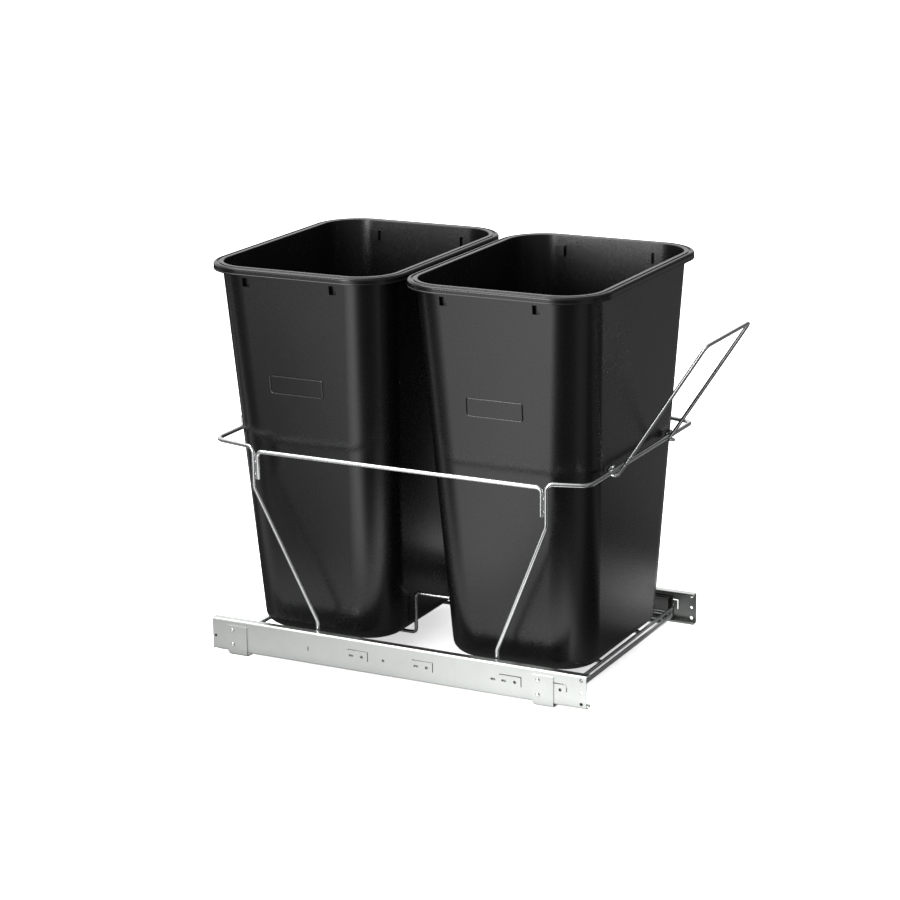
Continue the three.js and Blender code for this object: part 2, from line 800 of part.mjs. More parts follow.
// A bin with its bottom at z = 0 and its middle at x = 0 and y = 0.
function bin() {
  const ring = (outward, z) => {
    const x = wallX(z) + outward;
    const y = wallY(z) + outward;
    const points = roundedRectangle(-x, x, -y, y, binCorner + outward, cornerSteps);
    return points.map((point) => new THREE.Vector3(point.x, point.y, z));
  };
  const quarter = Array.from({ length: edgeSteps + 1 }, (_, k) => (k / edgeSteps) * (Math.PI / 2));
  const floor = bottomRecess + binWall;
  const outerEdgeRings = quarter.map((angle) => {
    return ring(-binEdge + binEdge * Math.sin(angle), binEdge - binEdge * Math.cos(angle));
  });
  const innerEdgeRings = quarter.map((angle) => {
    const outward = -binEdge + (binEdge - binWall) * Math.sin(angle);
    return ring(outward, binEdge - (binEdge - floor) * Math.cos(angle));
  });
  const skirt = rimOverhang - rimSheet;
  const [grooveIn, grooveOut] = rimGrooveEnds;
  const body = loft([
    ring(-binEdge - binRest - bottomRecess, bottomRecess),
    ring(-binEdge - binRest, 0),
    ...outerEdgeRings,
    ring(0, binHeight - rimSheet),
    ring(skirt, binHeight - rimSheet),
    ring(skirt, binHeight - rimDepth),
    ring(rimOverhang, binHeight - rimDepth),
    ring(rimOverhang, binHeight - rimRound),
    ring(rimOverhang - rimRound, binHeight),
    ring(grooveOut, binHeight),
    ring(grooveOut - rimGroove, binHeight - rimGroove),
    ring(grooveIn + rimGroove, binHeight - rimGroove),
    ring(grooveIn, binHeight),
    ring(rimRound - binWall, binHeight),
    ring(-binWall, binHeight - rimRound),
    ...innerEdgeRings.reverse(),
  ]);
  const bosses = [];
  const pockets = [];
  const top = binHeight - pocketDrop;
  const bottom = top - pocketHeight;
  const bossOuter = wallX(bottom - binWall) - pocketBite;
  const bossInner = wallX(bottom) - pocketDepth - binWall;
  for (const end of [-1, 1]) {
    for (const offset of [-pocketSpread / 2, pocketSpread / 2]) {
      const middle = pocketShift + offset;
      const [y0, y1] = [middle - pocketWidth / 2, middle + pocketWidth / 2];
      const across = (near, far) => [end * near, end * far].sort((a, b) => a - b);
      const [b0, b1] = across(bossInner, bossOuter);
      const [p0, p1] = across(bossInner + binWall, bossOuter + pocketDepth);
      bosses.push(block(b0, b1, y0 - binWall, y1 + binWall, bottom - binWall, top + binWall));
      pockets.push(block(p0, p1, y0, y1, bottom, top));
    }
  }
  return joinAndCut(body, bosses, pockets);
}

// ---- the whole unit ----

const unit = new THREE.Group();

function place(name, geometry, material, x, y, z) {
  const mesh = new THREE.Mesh(geometry, material);
  mesh.name = name;
  mesh.position.set(x, y, z);
  unit.add(mesh);
}

const leftSlide = slideAssembly("left");
leftSlide.position.set(-unitWidth / 2, halfSlide, slideLift);
const rightSlide = slideAssembly("right");
rightSlide.position.set(unitWidth / 2, halfSlide, slideLift);
rightSlide.scale.x = -1;
unit.add(leftSlide, rightSlide);

const frontLoop = endLoop(frontFootInset - halfSlide, frontLegInset - halfSlide, ringFrontY);
const rearLoop = endLoop(halfSlide - rearFootInset, halfSlide - rearLegInset, ringRearY);
const underBin = underBinWire();
const rail = sideRail();
const hook = rearHook();
place("base_loop", baseLoop(), chrome, 0, 0, 0);
place("toe_wire", toeWire(), chrome, 0, 0, 0);
place("front_end_loop", frontLoop, chrome, 0, 0, 0);
place("rear_end_loop", rearLoop, chrome, 0, 0, 0);
["left", "right"].forEach((side, i) => {
  const sign = i * 2 - 1;
  place(`${side}_under_bin_wire`, underBin, chrome, (sign * underBinSpread) / 2, 0, 0);
  place(`${side}_side_rail`, rail, chrome, sign * legX, 0, 0);
  place(`${side}_rear_hook`, hook, chrome, (sign * rearHookSpread) / 2, ringRearY, ringHeight);
});
place("bail_handle", bailHandle(), chrome, 0, ringFrontY, ringHeight);

const binShape = bin();
place("front_bin", binShape, blackPlastic, 0, frontBinY, binZ);
place("rear_bin", binShape, blackPlastic, 0, rearBinY, binZ);

// The origin is on the cabinet floor, in the middle of the unit's plan with the handle at rest.
unit.position.y = -new THREE.Box3().setFromObject(unit).getCenter(new THREE.Vector3()).y;

const part = new THREE.Group();
part.add(unit);

export default part;
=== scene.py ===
import json
import math

import bmesh
import bpy
from mathutils import Matrix, Vector

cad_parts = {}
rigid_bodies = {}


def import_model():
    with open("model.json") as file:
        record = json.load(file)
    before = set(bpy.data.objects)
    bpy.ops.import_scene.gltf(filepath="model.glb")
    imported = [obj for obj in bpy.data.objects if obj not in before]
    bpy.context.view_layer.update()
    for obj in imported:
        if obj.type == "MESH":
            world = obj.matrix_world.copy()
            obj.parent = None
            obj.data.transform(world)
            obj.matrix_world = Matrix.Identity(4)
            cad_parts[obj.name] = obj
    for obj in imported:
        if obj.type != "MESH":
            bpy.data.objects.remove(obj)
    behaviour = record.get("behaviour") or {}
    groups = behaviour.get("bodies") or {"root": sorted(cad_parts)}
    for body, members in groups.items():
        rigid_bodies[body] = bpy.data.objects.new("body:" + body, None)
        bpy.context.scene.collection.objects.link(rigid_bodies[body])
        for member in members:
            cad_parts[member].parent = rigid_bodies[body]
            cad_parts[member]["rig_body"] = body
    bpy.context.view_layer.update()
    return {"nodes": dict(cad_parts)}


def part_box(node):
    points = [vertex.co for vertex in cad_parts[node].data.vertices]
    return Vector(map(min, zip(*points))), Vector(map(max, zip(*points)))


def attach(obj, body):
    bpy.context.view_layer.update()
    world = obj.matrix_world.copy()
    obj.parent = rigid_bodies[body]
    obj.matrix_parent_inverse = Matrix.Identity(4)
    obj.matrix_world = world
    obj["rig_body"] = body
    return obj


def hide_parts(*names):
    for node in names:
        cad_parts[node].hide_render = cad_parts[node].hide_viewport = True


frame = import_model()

# ---- Studio ----
# A pale floor under a white surround, a soft lamp overhead and another at the left, and a long lens that
# looks at the unit from the front left, a little above the bins.

camera_place = Vector((-3.12142, -1.54889, 1.24411))
camera_forward = Vector((0.85605182, 0.44240639, -0.26730484))
camera_up = Vector((0.2442295, 0.1095755, 0.9635067))
camera_data = bpy.data.cameras.new("camera")
camera_data.sensor_width = 36
camera_data.lens = 107.452
camera = bpy.data.objects.new("camera", camera_data)
camera_right = camera_forward.cross(camera_up)
camera_turn = Matrix((camera_right, camera_up, -camera_forward)).transposed()
camera.matrix_world = Matrix.Translation(camera_place) @ camera_turn.to_4x4()
bpy.context.scene.collection.objects.link(camera)
bpy.context.scene.camera = camera
bpy.context.scene.view_settings.view_transform = "Standard"


def add_node(tree, kind, settings=None, **inputs):
    """A shader node with its settings, and its inputs set or linked by name or by place (in_0, in_1)."""
    node = tree.nodes.new(f"ShaderNode{kind}")
    for name, value in (settings or {}).items():
        setattr(node, name, value)
    for name, value in inputs.items():
        key = int(name[3:]) if name.startswith("in_") else name.replace("_", " ")
        if isinstance(value, bpy.types.NodeSocket):
            tree.links.new(value, node.inputs[key])
        else:
            node.inputs[key].default_value = value
    return node


def calculate(tree, operation, first, second=0.0, clamp=False):
    """A sum, product or other operation on one or two values."""
    node = add_node(tree, "Math", {"operation": operation, "use_clamp": clamp}, in_0=first, in_1=second)
    return node.outputs[0]


def ramp(tree, factor, stops):
    """A grey ramp through (place, level) stops."""
    node = add_node(tree, "ValToRGB", Fac=factor)
    elements = node.color_ramp.elements
    for place, _ in stops[len(elements):]:
        elements.new(place)
    for element, (place, level) in zip(elements, stops):
        element.position = place
        element.color = (level, level, level, 1)
    return node.outputs["Color"]


def direction_place(tree, x, y):
    """Where x and y lie round the unit, from 0 to 1, with the camera's side at 0.5."""
    side = camera_place.xy.normalized()

    def sum_of(x_share, y_share):
        return calculate(tree, "ADD", calculate(tree, "MULTIPLY", x, x_share),
                         calculate(tree, "MULTIPLY", y, y_share))

    turned = calculate(tree, "ARCTAN2", sum_of(-side.y, side.x), sum_of(side.x, side.y))
    return add_node(tree, "MapRange", in_0=turned, in_1=-math.pi, in_2=math.pi).outputs[0]


def round_levels(tree, place, levels, peak):
    """Levels round the unit, given by the angle from the camera's side in degrees, as shares of a peak."""
    return ramp(tree, place, [((degrees + 180) / 360, level / peak) for degrees, level in levels])


def blend(tree, share, first, second):
    """A colour between two, by a share from 0 to 1."""
    node = add_node(tree, "Mix", {"data_type": "RGBA"}, Factor=share, in_6=first, in_7=second)
    return node.outputs["Result"]


def by_ray(tree, seen, mirrored, lighting):
    """One shader for the camera's rays, one for rays off or through something, and one for the rest."""
    path = add_node(tree, "LightPath").outputs
    off_gloss = calculate(tree, "MAXIMUM", path["Is Glossy Ray"], path["Is Transmission Ray"])
    unseen = add_node(tree, "MixShader", Fac=off_gloss, in_1=lighting.outputs[0], in_2=mirrored.outputs[0])
    chosen = add_node(tree, "MixShader", Fac=path["Is Camera Ray"], in_1=unseen.outputs[0],
                      in_2=seen.outputs[0])
    return chosen.outputs[0]


# levels that gloss shows, low in the surround, high up in it, and on the floor further out, where they are
# painted light and shade that reflections show on the floor
peak = 1.7
low_levels = [
    (-180, 1.1), (-135, 1.0), (-110, 0.35), (-72, 0.25), (-63, 0.45), (-56, 0.95), (-44, 1.15),
    (-36, 0.7), (-26, 0.35), (40, 0.3), (60, 0.2), (90, 0.08), (148, 0.1), (165, 0.8), (180, 1.1),
]
high_levels = [(-180, 1.0), (-40, 1.0), (0, 0.5), (60, 0.25), (140, 0.25), (170, 0.8), (180, 1.0)]
high_starts, high_full = 0.35, 0.75
painted_floor_light = [
    (-180, 0.04), (-110, 0.04), (-80, 0.06), (-70, 0.15), (-64, 0.26), (-58, 0.62), (-53, 1.0),
    (-48, 1.1), (-43, 1.5), (-34, 1.65), (-28, 0.7), (-20, 0.06), (0, 0.03), (22, 0.07), (36, 0.28),
    (56, 0.3), (90, 0.14), (106, 0.04), (112, 0.04), (117, 0.22), (124, 0.3), (132, 0.25), (150, 0.1),
    (180, 0.05),
]
surround_fill = 0.5
plain_white = (1, 1, 1, 1)
world = bpy.data.worlds.new("surround")
world.use_nodes = True
bpy.context.scene.world = world
tree = world.node_tree
tree.nodes.clear()
heading = add_node(tree, "SeparateXYZ", Vector=add_node(tree, "TexCoord").outputs["Object"]).outputs
place = direction_place(tree, heading["X"], heading["Y"])
high = add_node(tree, "MapRange", {"interpolation_type": "SMOOTHSTEP"}, in_0=heading["Z"],
                in_1=high_starts, in_2=high_full)
level = blend(tree, high.outputs[0], round_levels(tree, place, low_levels, peak),
              round_levels(tree, place, high_levels, peak))
fill = add_node(tree, "Background", Color=plain_white, Strength=surround_fill)
white = add_node(tree, "Background", Color=plain_white, Strength=1.0)
gloss = add_node(tree, "Background", Color=level, Strength=peak)
add_node(tree, "OutputWorld", Surface=by_ray(tree, white, gloss, fill))

floor_size = 30.0
floor_colour = (0.8, 0.8, 0.8, 1)
# what the camera sees of the floor: a glow of its own, and what the lamps add where no shadow falls
floor_glow, floor_shade = 0.6, (2.8, 2.8, 2.8, 1)
# how strongly the floor glows in reflections with its painted light and shade
painted_gloss_glow = 0.85
# painted light and shade that reflections show on the floor beside and under the unit, darkest under it as
# a painted shade, across it and from its front to its rear, and how far out from its middle they start to
# fade and end
painted_shading_across = [
    (-0.42, 0.65), (-0.3, 1.0), (-0.22, 1.0), (-0.17, 0.3), (-0.1, 0.15), (0.08, 0.06), (0.11, 0.08),
    (0.15, 0.33), (0.18, 0.35), (0.25, 0.85), (0.42, 0.8),
]
painted_shading_along = [
    (-0.43, 0.25), (-0.36, 0.35), (-0.27, 1.5), (-0.1, 1.3), (0.08, 0.85), (0.28, 0.68), (0.42, 0.55),
]
near_fades, near_reach = 0.32, 0.45
floor_mesh = bpy.data.meshes.new("floor")
bm = bmesh.new()
bmesh.ops.create_grid(bm, x_segments=1, y_segments=1, size=floor_size / 2)
bm.to_mesh(floor_mesh)
bm.free()
floor = bpy.data.objects.new("floor", floor_mesh)
bpy.context.scene.collection.objects.link(floor)
paper = bpy.data.materials.new("floor_paper")
paper.use_nodes = True
floor_mesh.materials.append(paper)
tree = paper.node_tree
tree.nodes.clear()
place = add_node(tree, "SeparateXYZ", Vector=add_node(tree, "TexCoord").outputs["Object"]).outputs
# further out, the painted light on the floor in reflections, by the direction round the unit
far_painted_light = round_levels(tree, direction_place(tree, place["X"], place["Y"]), painted_floor_light, peak)
near_painted_shadings = []
for axis, levels in (("X", painted_shading_across), ("Y", painted_shading_along)):
    share = add_node(tree, "MapRange", in_0=place[axis], in_1=-near_reach, in_2=near_reach)
    stops = [((at + near_reach) / (2 * near_reach), level / peak) for at, level in levels]
    near_painted_shadings.append(ramp(tree, share.outputs[0], stops))
near_painted_shading = near_painted_shadings[0]
for factor in (near_painted_shadings[1], (peak,) * 3):
    product = add_node(tree, "VectorMath", {"operation": "MULTIPLY"}, in_0=near_painted_shading, in_1=factor)
    near_painted_shading = product.outputs[0]
away = add_node(tree, "MapRange", {"interpolation_type": "SMOOTHSTEP"},
                in_0=calculate(tree, "ABSOLUTE", place["X"]), in_1=near_fades, in_2=near_reach)
level = blend(tree, away.outputs[0], near_painted_shading, far_painted_light)


def lit_and_glowing(tone, glow_tone, glow):
    """A matt surface that also glows."""
    lit = add_node(tree, "BsdfDiffuse", Color=tone)
    glowing = add_node(tree, "Emission", Color=glow_tone, Strength=glow)
    return add_node(tree, "AddShader", in_0=lit.outputs[0], in_1=glowing.outputs[0])


shown = lit_and_glowing(floor_shade, plain_white, floor_glow)
# in reflections the floor glows with painted light and shade, darkest under the unit
mirrored = lit_and_glowing(level, level, painted_gloss_glow)
lighting = add_node(tree, "BsdfDiffuse", Color=floor_colour)
add_node(tree, "OutputMaterial", Surface=by_ray(tree, shown, mirrored, lighting))


def add_lamp(name, place, aim, size, energy):
    """A soft rectangular lamp that the camera doesn't see."""
    data = bpy.data.lights.new(name, "AREA")
    data.shape = "RECTANGLE"
    data.size, data.size_y = size
    data.energy = energy
    lamp = bpy.data.objects.new(name, data)
    facing = (Vector(aim) - Vector(place)).to_track_quat("-Z", "Y").to_matrix().to_4x4()
    lamp.matrix_world = Matrix.Translation(place) @ facing
    lamp.visible_camera = False
    bpy.context.scene.collection.objects.link(lamp)


add_lamp("overhead_lamp", place=(-0.7, 1.0, 2.1), aim=(0, 0.05, 0.25), size=(1.5, 1.1), energy=22)
add_lamp("side_lamp", place=(-2.75, 0.82, 0.82), aim=(0, 0, 0.5), size=(0.8, 0.9), energy=24)

# ---- Cabinet members ----
# The fixed member of each slide is a channel rolled from zinc-plated steel strip, with lips that keep
# the balls in. Its web is pierced with screw holes and slots, and small tongues are pressed in it.

MM = 0.001
tiny = 0.001


def sizes(node):
    """The lowest and highest corners of a CAD node, in millimetres."""
    return [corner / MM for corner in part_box(node)]


def middle_line(node):
    """Where the middle of a CAD node lies along Y and Z, in millimetres."""
    low, high = sizes(node)
    return (low.y + high.y) / 2, (low.z + high.z) / 2


sheet = 1.2
slide_low, slide_high = sizes("left_cabinet_member")
slide_height = slide_high.z - slide_low.z
rear_y = slide_high.y
web_bend = 2.1
lip_bend = 1.1
bend_step, fewest_steps = math.radians(9), 3
block_segments, nearly_along = 5, 0.9
rod_sides = 32
# web, edge, flange and lip, as channel() takes them
cabinet_section = (0.6, 11.6, 0.6, 2.8)
member_edge, edge_segments = 0.12, 2
slot_radius_share = 0.45
hole_drop = 0.8
hole_line = slide_low.z + slide_height / 2 - hole_drop
tongue_rise, tongue_drop, slit = 8.8, 14, 1.3
# the front edge of each tongue, measured from the rear end, its length, and how many slots are in it
tongues = [(-241.6, 31, 1), (-338.9, 31, 1), (-467.5, 32, 2), (-532.1, 19, 0)]
tongue_hole, tongue_hole_radius = 9.7, 2.3
slot_place, slot_step, slot_size = 25.5, 15.5, (7, 3)
lone_hole, lone_hole_radius = -264.3, 2
lone_slit, lone_slit_size = -149.8, (1.3, 6)
end_hole, end_hole_radius, end_hole_edge = -552, 2.4, 6.5
corner_cut = 3
peg_hole, peg_hole_radius, peg_drop = -4.7, 2, 3.1
rivet_hole_radius = 2.2


def pick(parts, kind):
    """The vertices or the edges among what an operator made."""
    return [part for part in parts if isinstance(part, kind)]


def run_along(bm, section, corners, usual_bend):
    """Runs a section along straights between corners, with a round bend at each of them. A corner is
    x, y, z and, where it has its own, the radius of its bend."""
    points = [Vector(corner[:3]) for corner in corners]
    bends = [corner[3] if len(corner) > 3 else usual_bend for corner in corners]
    used = 0
    for i in range(1, len(points)):
        before = (points[i] - points[i - 1]).normalized()
        turning = i + 1 < len(points)
        after = (points[i + 1] - points[i]).normalized() if turning else before
        turn = before.angle(after) if turning else 0
        trim = bends[i] * math.tan(turn / 2)
        straight = (points[i] - points[i - 1]).length - used - trim
        if straight > tiny:
            grown = bmesh.ops.extrude_edge_only(bm, edges=pick(section, bmesh.types.BMEdge))["geom"]
            verts = pick(grown, bmesh.types.BMVert)
            bmesh.ops.translate(bm, verts=verts, vec=before * straight)
            edges = [edge for edge in pick(grown, bmesh.types.BMEdge) if set(edge.verts) <= set(verts)]
            section = verts + edges
        if turn > tiny:
            inward = (after - before * after.dot(before)).normalized()
            centre = points[i] - before * trim + inward * bends[i]
            spun = bmesh.ops.spin(bm, geom=section, cent=centre, axis=before.cross(after), angle=turn,
                                  steps=max(fewest_steps, round(turn / bend_step)))
            section = spun["geom_last"]
        used = trim
    return section


def bent_strip(corners, thickness, bend, rear, front):
    """A sheet bent along corners in the X-Z plane, given as x, z and its own bend, that runs from rear
    to front."""
    path = [(corner[0], rear, *corner[1:]) for corner in corners]
    heading = (Vector(path[1][:3]) - Vector(path[0][:3])).normalized()
    across = heading.cross(Vector((0, 1, 0))) * thickness / 2
    bm = bmesh.new()
    ends = [bm.verts.new(Vector(path[0][:3]) + across * sign) for sign in (-1, 1)]
    run_along(bm, [*ends, bm.edges.new(ends)], path, bend)
    grown = bmesh.ops.extrude_face_region(bm, geom=bm.faces[:])["geom"]
    bmesh.ops.translate(bm, verts=pick(grown, bmesh.types.BMVert), vec=(0, front - rear, 0))
    return bm


def channel(web, edge, flange, lip, rear, front):
    """A slide member: its web and the edges of its flanges in from the slide's outer face, its flanges
    up from the underside, and lips that turn in where lip is above zero."""
    left, low, high = slide_low.x, slide_low.z + flange, slide_high.z - flange
    corners = [
        (left + edge, low + lip), (left + edge, low, lip_bend), (left + web, low),
        (left + web, high), (left + edge, high, lip_bend), (left + edge, high - lip),
    ]
    return bent_strip(corners, sheet, web_bend, rear, front)


def add_block(bm, low, high, rounding=0, along=0):
    """A block between two corners. Its edges that run along one axis can be round."""
    low, high = Vector(low), Vector(high)
    known = set(bm.verts)
    stand = Matrix.Translation((low + high) / 2) @ Matrix.Diagonal((*(high - low), 1))
    verts = bmesh.ops.create_cube(bm, size=1, matrix=stand)["verts"]
    if rounding:
        edges = dict.fromkeys(edge for vert in verts for edge in vert.link_edges)
        running = [edge for edge in edges
                   if abs((edge.verts[0].co - edge.verts[1].co).normalized()[along]) > nearly_along]
        bmesh.ops.bevel(bm, geom=running, offset=rounding, affect="EDGES", segments=block_segments,
                        profile=0.5, material=-1)
    return [vert for vert in bm.verts if vert not in known]


def add_rod(bm, x0, x1, y, z, radius):
    """A rod along X."""
    stand = Matrix.Translation(((x0 + x1) / 2, y, z)) @ Matrix.Rotation(math.pi / 2, 4, "Y")
    bmesh.ops.create_cone(bm, cap_ends=True, segments=rod_sides, radius1=radius, radius2=radius,
                          depth=abs(x1 - x0), matrix=stand)


def combine(bm, tool, operation="DIFFERENCE"):
    """Cuts a closed tool out of a closed body, joins them, or keeps what they share."""
    parts = []
    for source in (bm, tool):
        bmesh.ops.recalc_face_normals(source, faces=source.faces[:])
        mesh = bpy.data.meshes.new("work")
        source.to_mesh(mesh)
        source.free()
        part = bpy.data.objects.new("work", mesh)
        bpy.context.scene.collection.objects.link(part)
        parts.append(part)
    body, cutter = parts
    boolean = body.modifiers.new("combine", "BOOLEAN")
    boolean.operation = operation
    boolean.solver = "EXACT"
    boolean.object = cutter
    shaped = body.evaluated_get(bpy.context.evaluated_depsgraph_get())
    result = bmesh.new()
    result.from_mesh(shaped.to_mesh())
    for part in parts:
        mesh = part.data
        bpy.data.objects.remove(part)
        bpy.data.meshes.remove(mesh)
    return result


def make_piece(bm, name, material):
    """A smooth object from a mesh in millimetres."""
    bmesh.ops.scale(bm, vec=(MM, MM, MM), verts=bm.verts[:])
    for face in bm.faces:
        face.smooth = True
    mesh = bpy.data.meshes.new(name)
    bm.to_mesh(mesh)
    bm.free()
    mesh.materials.append(material)
    piece = bpy.data.objects.new(name, mesh)
    bpy.context.scene.collection.objects.link(piece)
    return piece


def finish_piece(bm, name, node, material, slot, edge_round=0.0, crease=35):
    """Makes a mesh in millimetres the piece that stands for a CAD node. Its edges are rounded, or kept
    sharp where they turn by more than the crease."""
    bmesh.ops.remove_doubles(bm, verts=bm.verts[:], dist=tiny)
    bmesh.ops.recalc_face_normals(bm, faces=bm.faces[:])
    if not edge_round:
        for edge in bm.edges:
            edge.smooth = edge.calc_face_angle(0) < math.radians(crease)
    piece = make_piece(bm, name, material)
    if edge_round:
        bevel = piece.modifiers.new("edges", "BEVEL")
        bevel.width = edge_round * MM
        bevel.segments = edge_segments
        bevel.limit_method = "ANGLE"
        bevel.angle_limit = math.radians(crease)
        piece.modifiers.new("shading", "WEIGHTED_NORMAL")
    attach(piece, frame["nodes"][node]["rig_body"])
    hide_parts(node)


def finish_pair(bm, name, material, slot, **finish):
    """The left piece, and its mirror image on the right."""
    other = bm.copy()
    bmesh.ops.scale(other, vec=(-1, 1, 1), verts=other.verts[:])
    finish_piece(bm, f"{name}.left", f"left_{name}", material, slot, **finish)
    finish_piece(other, f"{name}.right", f"right_{name}", material, slot, **finish)


def new_group(name, inputs, outputs):
    """A shader node group with its named inputs and outputs, and its two end nodes."""
    group = bpy.data.node_groups.new(name, "ShaderNodeTree")
    for socket, kind in inputs:
        group.interface.new_socket(socket, in_out="INPUT", socket_type=f"NodeSocket{kind}")
    for socket, kind in outputs:
        group.interface.new_socket(socket, in_out="OUTPUT", socket_type=f"NodeSocket{kind}")
    return group, group.nodes.new("NodeGroupInput"), group.nodes.new("NodeGroupOutput")


# Broad soft patches with finer ones on them, from 0 to 1
mottle, group_in, group_out = new_group(
    "soft_mottle", [("Vector", "Vector"), ("Scale", "Float"), ("Contrast", "Float")], [("Value", "Float")]
)
broad = add_node(mottle, "TexNoise", {"noise_dimensions": "3D"}, Vector=group_in.outputs["Vector"],
                 Scale=group_in.outputs["Scale"], Detail=4.0, Roughness=0.6)
centred = calculate(mottle, "SUBTRACT", broad.outputs["Fac"], 0.5)
spread = calculate(mottle, "MULTIPLY", centred, group_in.outputs["Contrast"])
mottle.links.new(calculate(mottle, "ADD", spread, 0.5, clamp=True), group_out.inputs["Value"])

# Fine lines that the rolls leave along Y
line_squeeze = 0.012
rolled, group_in, group_out = new_group(
    "rolled_lines", [("Vector", "Vector"), ("Scale", "Float")], [("Value", "Float"), ("Height", "Float")]
)
stretched = add_node(rolled, "Mapping", Vector=group_in.outputs["Vector"], Scale=(1, line_squeeze, 1))
lines = add_node(rolled, "TexNoise", {"noise_dimensions": "3D"}, Vector=stretched.outputs[0],
                 Scale=group_in.outputs["Scale"], Detail=3.0, Roughness=0.7)
rolled.links.new(lines.outputs["Fac"], group_out.inputs["Value"])
rolled.links.new(lines.outputs["Fac"], group_out.inputs["Height"])


def place_group(tree, group, **inputs):
    """A node group in a material, with its own values."""
    node = tree.nodes.new("ShaderNodeGroup")
    node.node_tree = group
    for name, value in inputs.items():
        if isinstance(value, bpy.types.NodeSocket):
            tree.links.new(value, node.inputs[name])
        else:
            node.inputs[name].default_value = value
    return node


def new_material(name, **inputs):
    """A material with one Principled shader whose plain values are given, and its Object coordinates."""
    material = bpy.data.materials.new(name)
    material.use_nodes = True
    tree = material.node_tree
    tree.nodes.clear()
    shader = add_node(tree, "BsdfPrincipled", **inputs)
    add_node(tree, "OutputMaterial", Surface=shader.outputs[0])
    return material, tree, shader, add_node(tree, "TexCoord").outputs["Object"]


def weigh(tree, share, first, second):
    """A share of one value and the rest of another."""
    return calculate(tree, "ADD", calculate(tree, "MULTIPLY", first, share),
                     calculate(tree, "MULTIPLY", second, 1 - share))


def vary(tree, shader, tone, colours, wear, roughness):
    """Runs the colour from one to another by the tone, and the roughness by the wear."""
    first, last = ((*colour, 1) for colour in colours)
    rough = add_node(tree, "MapRange", in_0=wear, in_3=roughness[0], in_4=roughness[1])
    tree.links.new(blend(tree, tone, first, last), shader.inputs["Base Color"])
    tree.links.new(rough.outputs[0], shader.inputs["Roughness"])


def bump(tree, shader, height, distance):
    """Raises the surface by a height from 0 to 1, times a distance in metres."""
    node = add_node(tree, "Bump", Height=height, Strength=1.0, Distance=distance)
    tree.links.new(node.outputs[0], shader.inputs["Normal"])


zinc_tones = ((0.66, 0.68, 0.665), (0.76, 0.79, 0.76))
patch_share = 0.65
rolled_depth = 0.00001
zinc, tree, shader, coordinates = new_material("zinc_plated_steel", Metallic=1.0)
patches = place_group(tree, mottle, Vector=coordinates, Scale=38.0, Contrast=1.6)
grain = place_group(tree, rolled, Vector=coordinates, Scale=2600.0)
fine = place_group(tree, mottle, Vector=coordinates, Scale=420.0, Contrast=2.2)
worn = weigh(tree, patch_share, patches.outputs[0], fine.outputs[0])
streaks = calculate(tree, "MULTIPLY", worn, grain.outputs["Value"])
vary(tree, shader, worn, zinc_tones, streaks, roughness=(0.36, 0.2))
bump(tree, shader, grain.outputs["Height"], distance=rolled_depth)

web_x = (slide_low.x - sheet, slide_low.x + 2 * sheet)
body = channel(*cabinet_section, rear_y, slide_low.y)
holes, fronts = bmesh.new(), bmesh.new()


def cut_slot(middle, size):
    """A slot with round ends in the web, on the line of the holes."""
    length, height = size
    y = rear_y + middle
    rounding = slot_radius_share * min(size)
    add_block(holes, (web_x[0], y - length / 2, hole_line - height / 2),
              (web_x[1], y + length / 2, hole_line + height / 2), rounding)


for front_edge, length, slots in tongues:
    y, top = rear_y + front_edge, hole_line + tongue_rise
    add_block(holes, (web_x[0], y, top - slit), (web_x[1], y + length, top))
    add_block(fronts, (web_x[0], y, top - tongue_drop), (web_x[1], y + slit, top - slit / 2))
    add_rod(holes, *web_x, y + tongue_hole, hole_line, tongue_hole_radius)
    for k in range(slots):
        cut_slot(front_edge + slot_place + k * slot_step, slot_size)
add_rod(holes, *web_x, rear_y + lone_hole, hole_line, lone_hole_radius)
cut_slot(lone_slit, lone_slit_size)
add_rod(holes, *web_x, rear_y + peg_hole, slide_low.z + slide_height / 2 - peg_drop, peg_hole_radius)
add_rod(holes, *web_x, rear_y + end_hole, hole_line, lone_hole_radius)
for z in (slide_low.z + end_hole_edge, slide_high.z - end_hole_edge):
    add_rod(holes, *web_x, rear_y + end_hole, z, end_hole_radius)
for place_name in ("rear", "front"):
    for level in ("lower", "upper"):
        add_rod(holes, *web_x, *middle_line(f"left_{place_name}_{level}_rivet"), rivet_hole_radius)
corner = add_block(fronts, (web_x[0], -corner_cut, -corner_cut), (web_x[1], corner_cut, corner_cut))
turn = Matrix.Rotation(math.pi / 4, 3, "X")
bmesh.ops.rotate(fronts, verts=corner, cent=(0, 0, 0), matrix=turn)
reach = corner_cut * (math.sqrt(2) - 1) * math.sqrt(0.5)
bmesh.ops.translate(fronts, verts=corner, vec=(0, rear_y + reach, slide_high.z + reach))
body = combine(combine(body, holes), fronts)
finish_pair(body, "cabinet_member", zinc, "zinc_steel", edge_round=member_edge)

# ---- Stop bumpers ----
# A moulded rubber block plugged into the rear end of each fixed member, where the drawer member comes
# to rest. Its peg fills a hole in the web.

bumper_radius = 1.5
bumper_edge = 0.4
bumper_gap = 1.5
bumper_groove = 1.2
peg_radius, peg_bite = 1.7, 1
overcut = 1
rubber_tones = ((0.012, 0.012, 0.012), (0.02, 0.02, 0.019))

rubber, tree, shader, coordinates = new_material("moulded_rubber", Metallic=0.0)
grain = place_group(tree, mottle, Vector=coordinates, Scale=900.0, Contrast=1.5)
patches = place_group(tree, mottle, Vector=coordinates, Scale=90.0, Contrast=1.5)
vary(tree, shader, patches.outputs[0], rubber_tones, patches.outputs[0], roughness=(0.7, 0.85))
bump(tree, shader, grain.outputs[0], distance=0.00004)

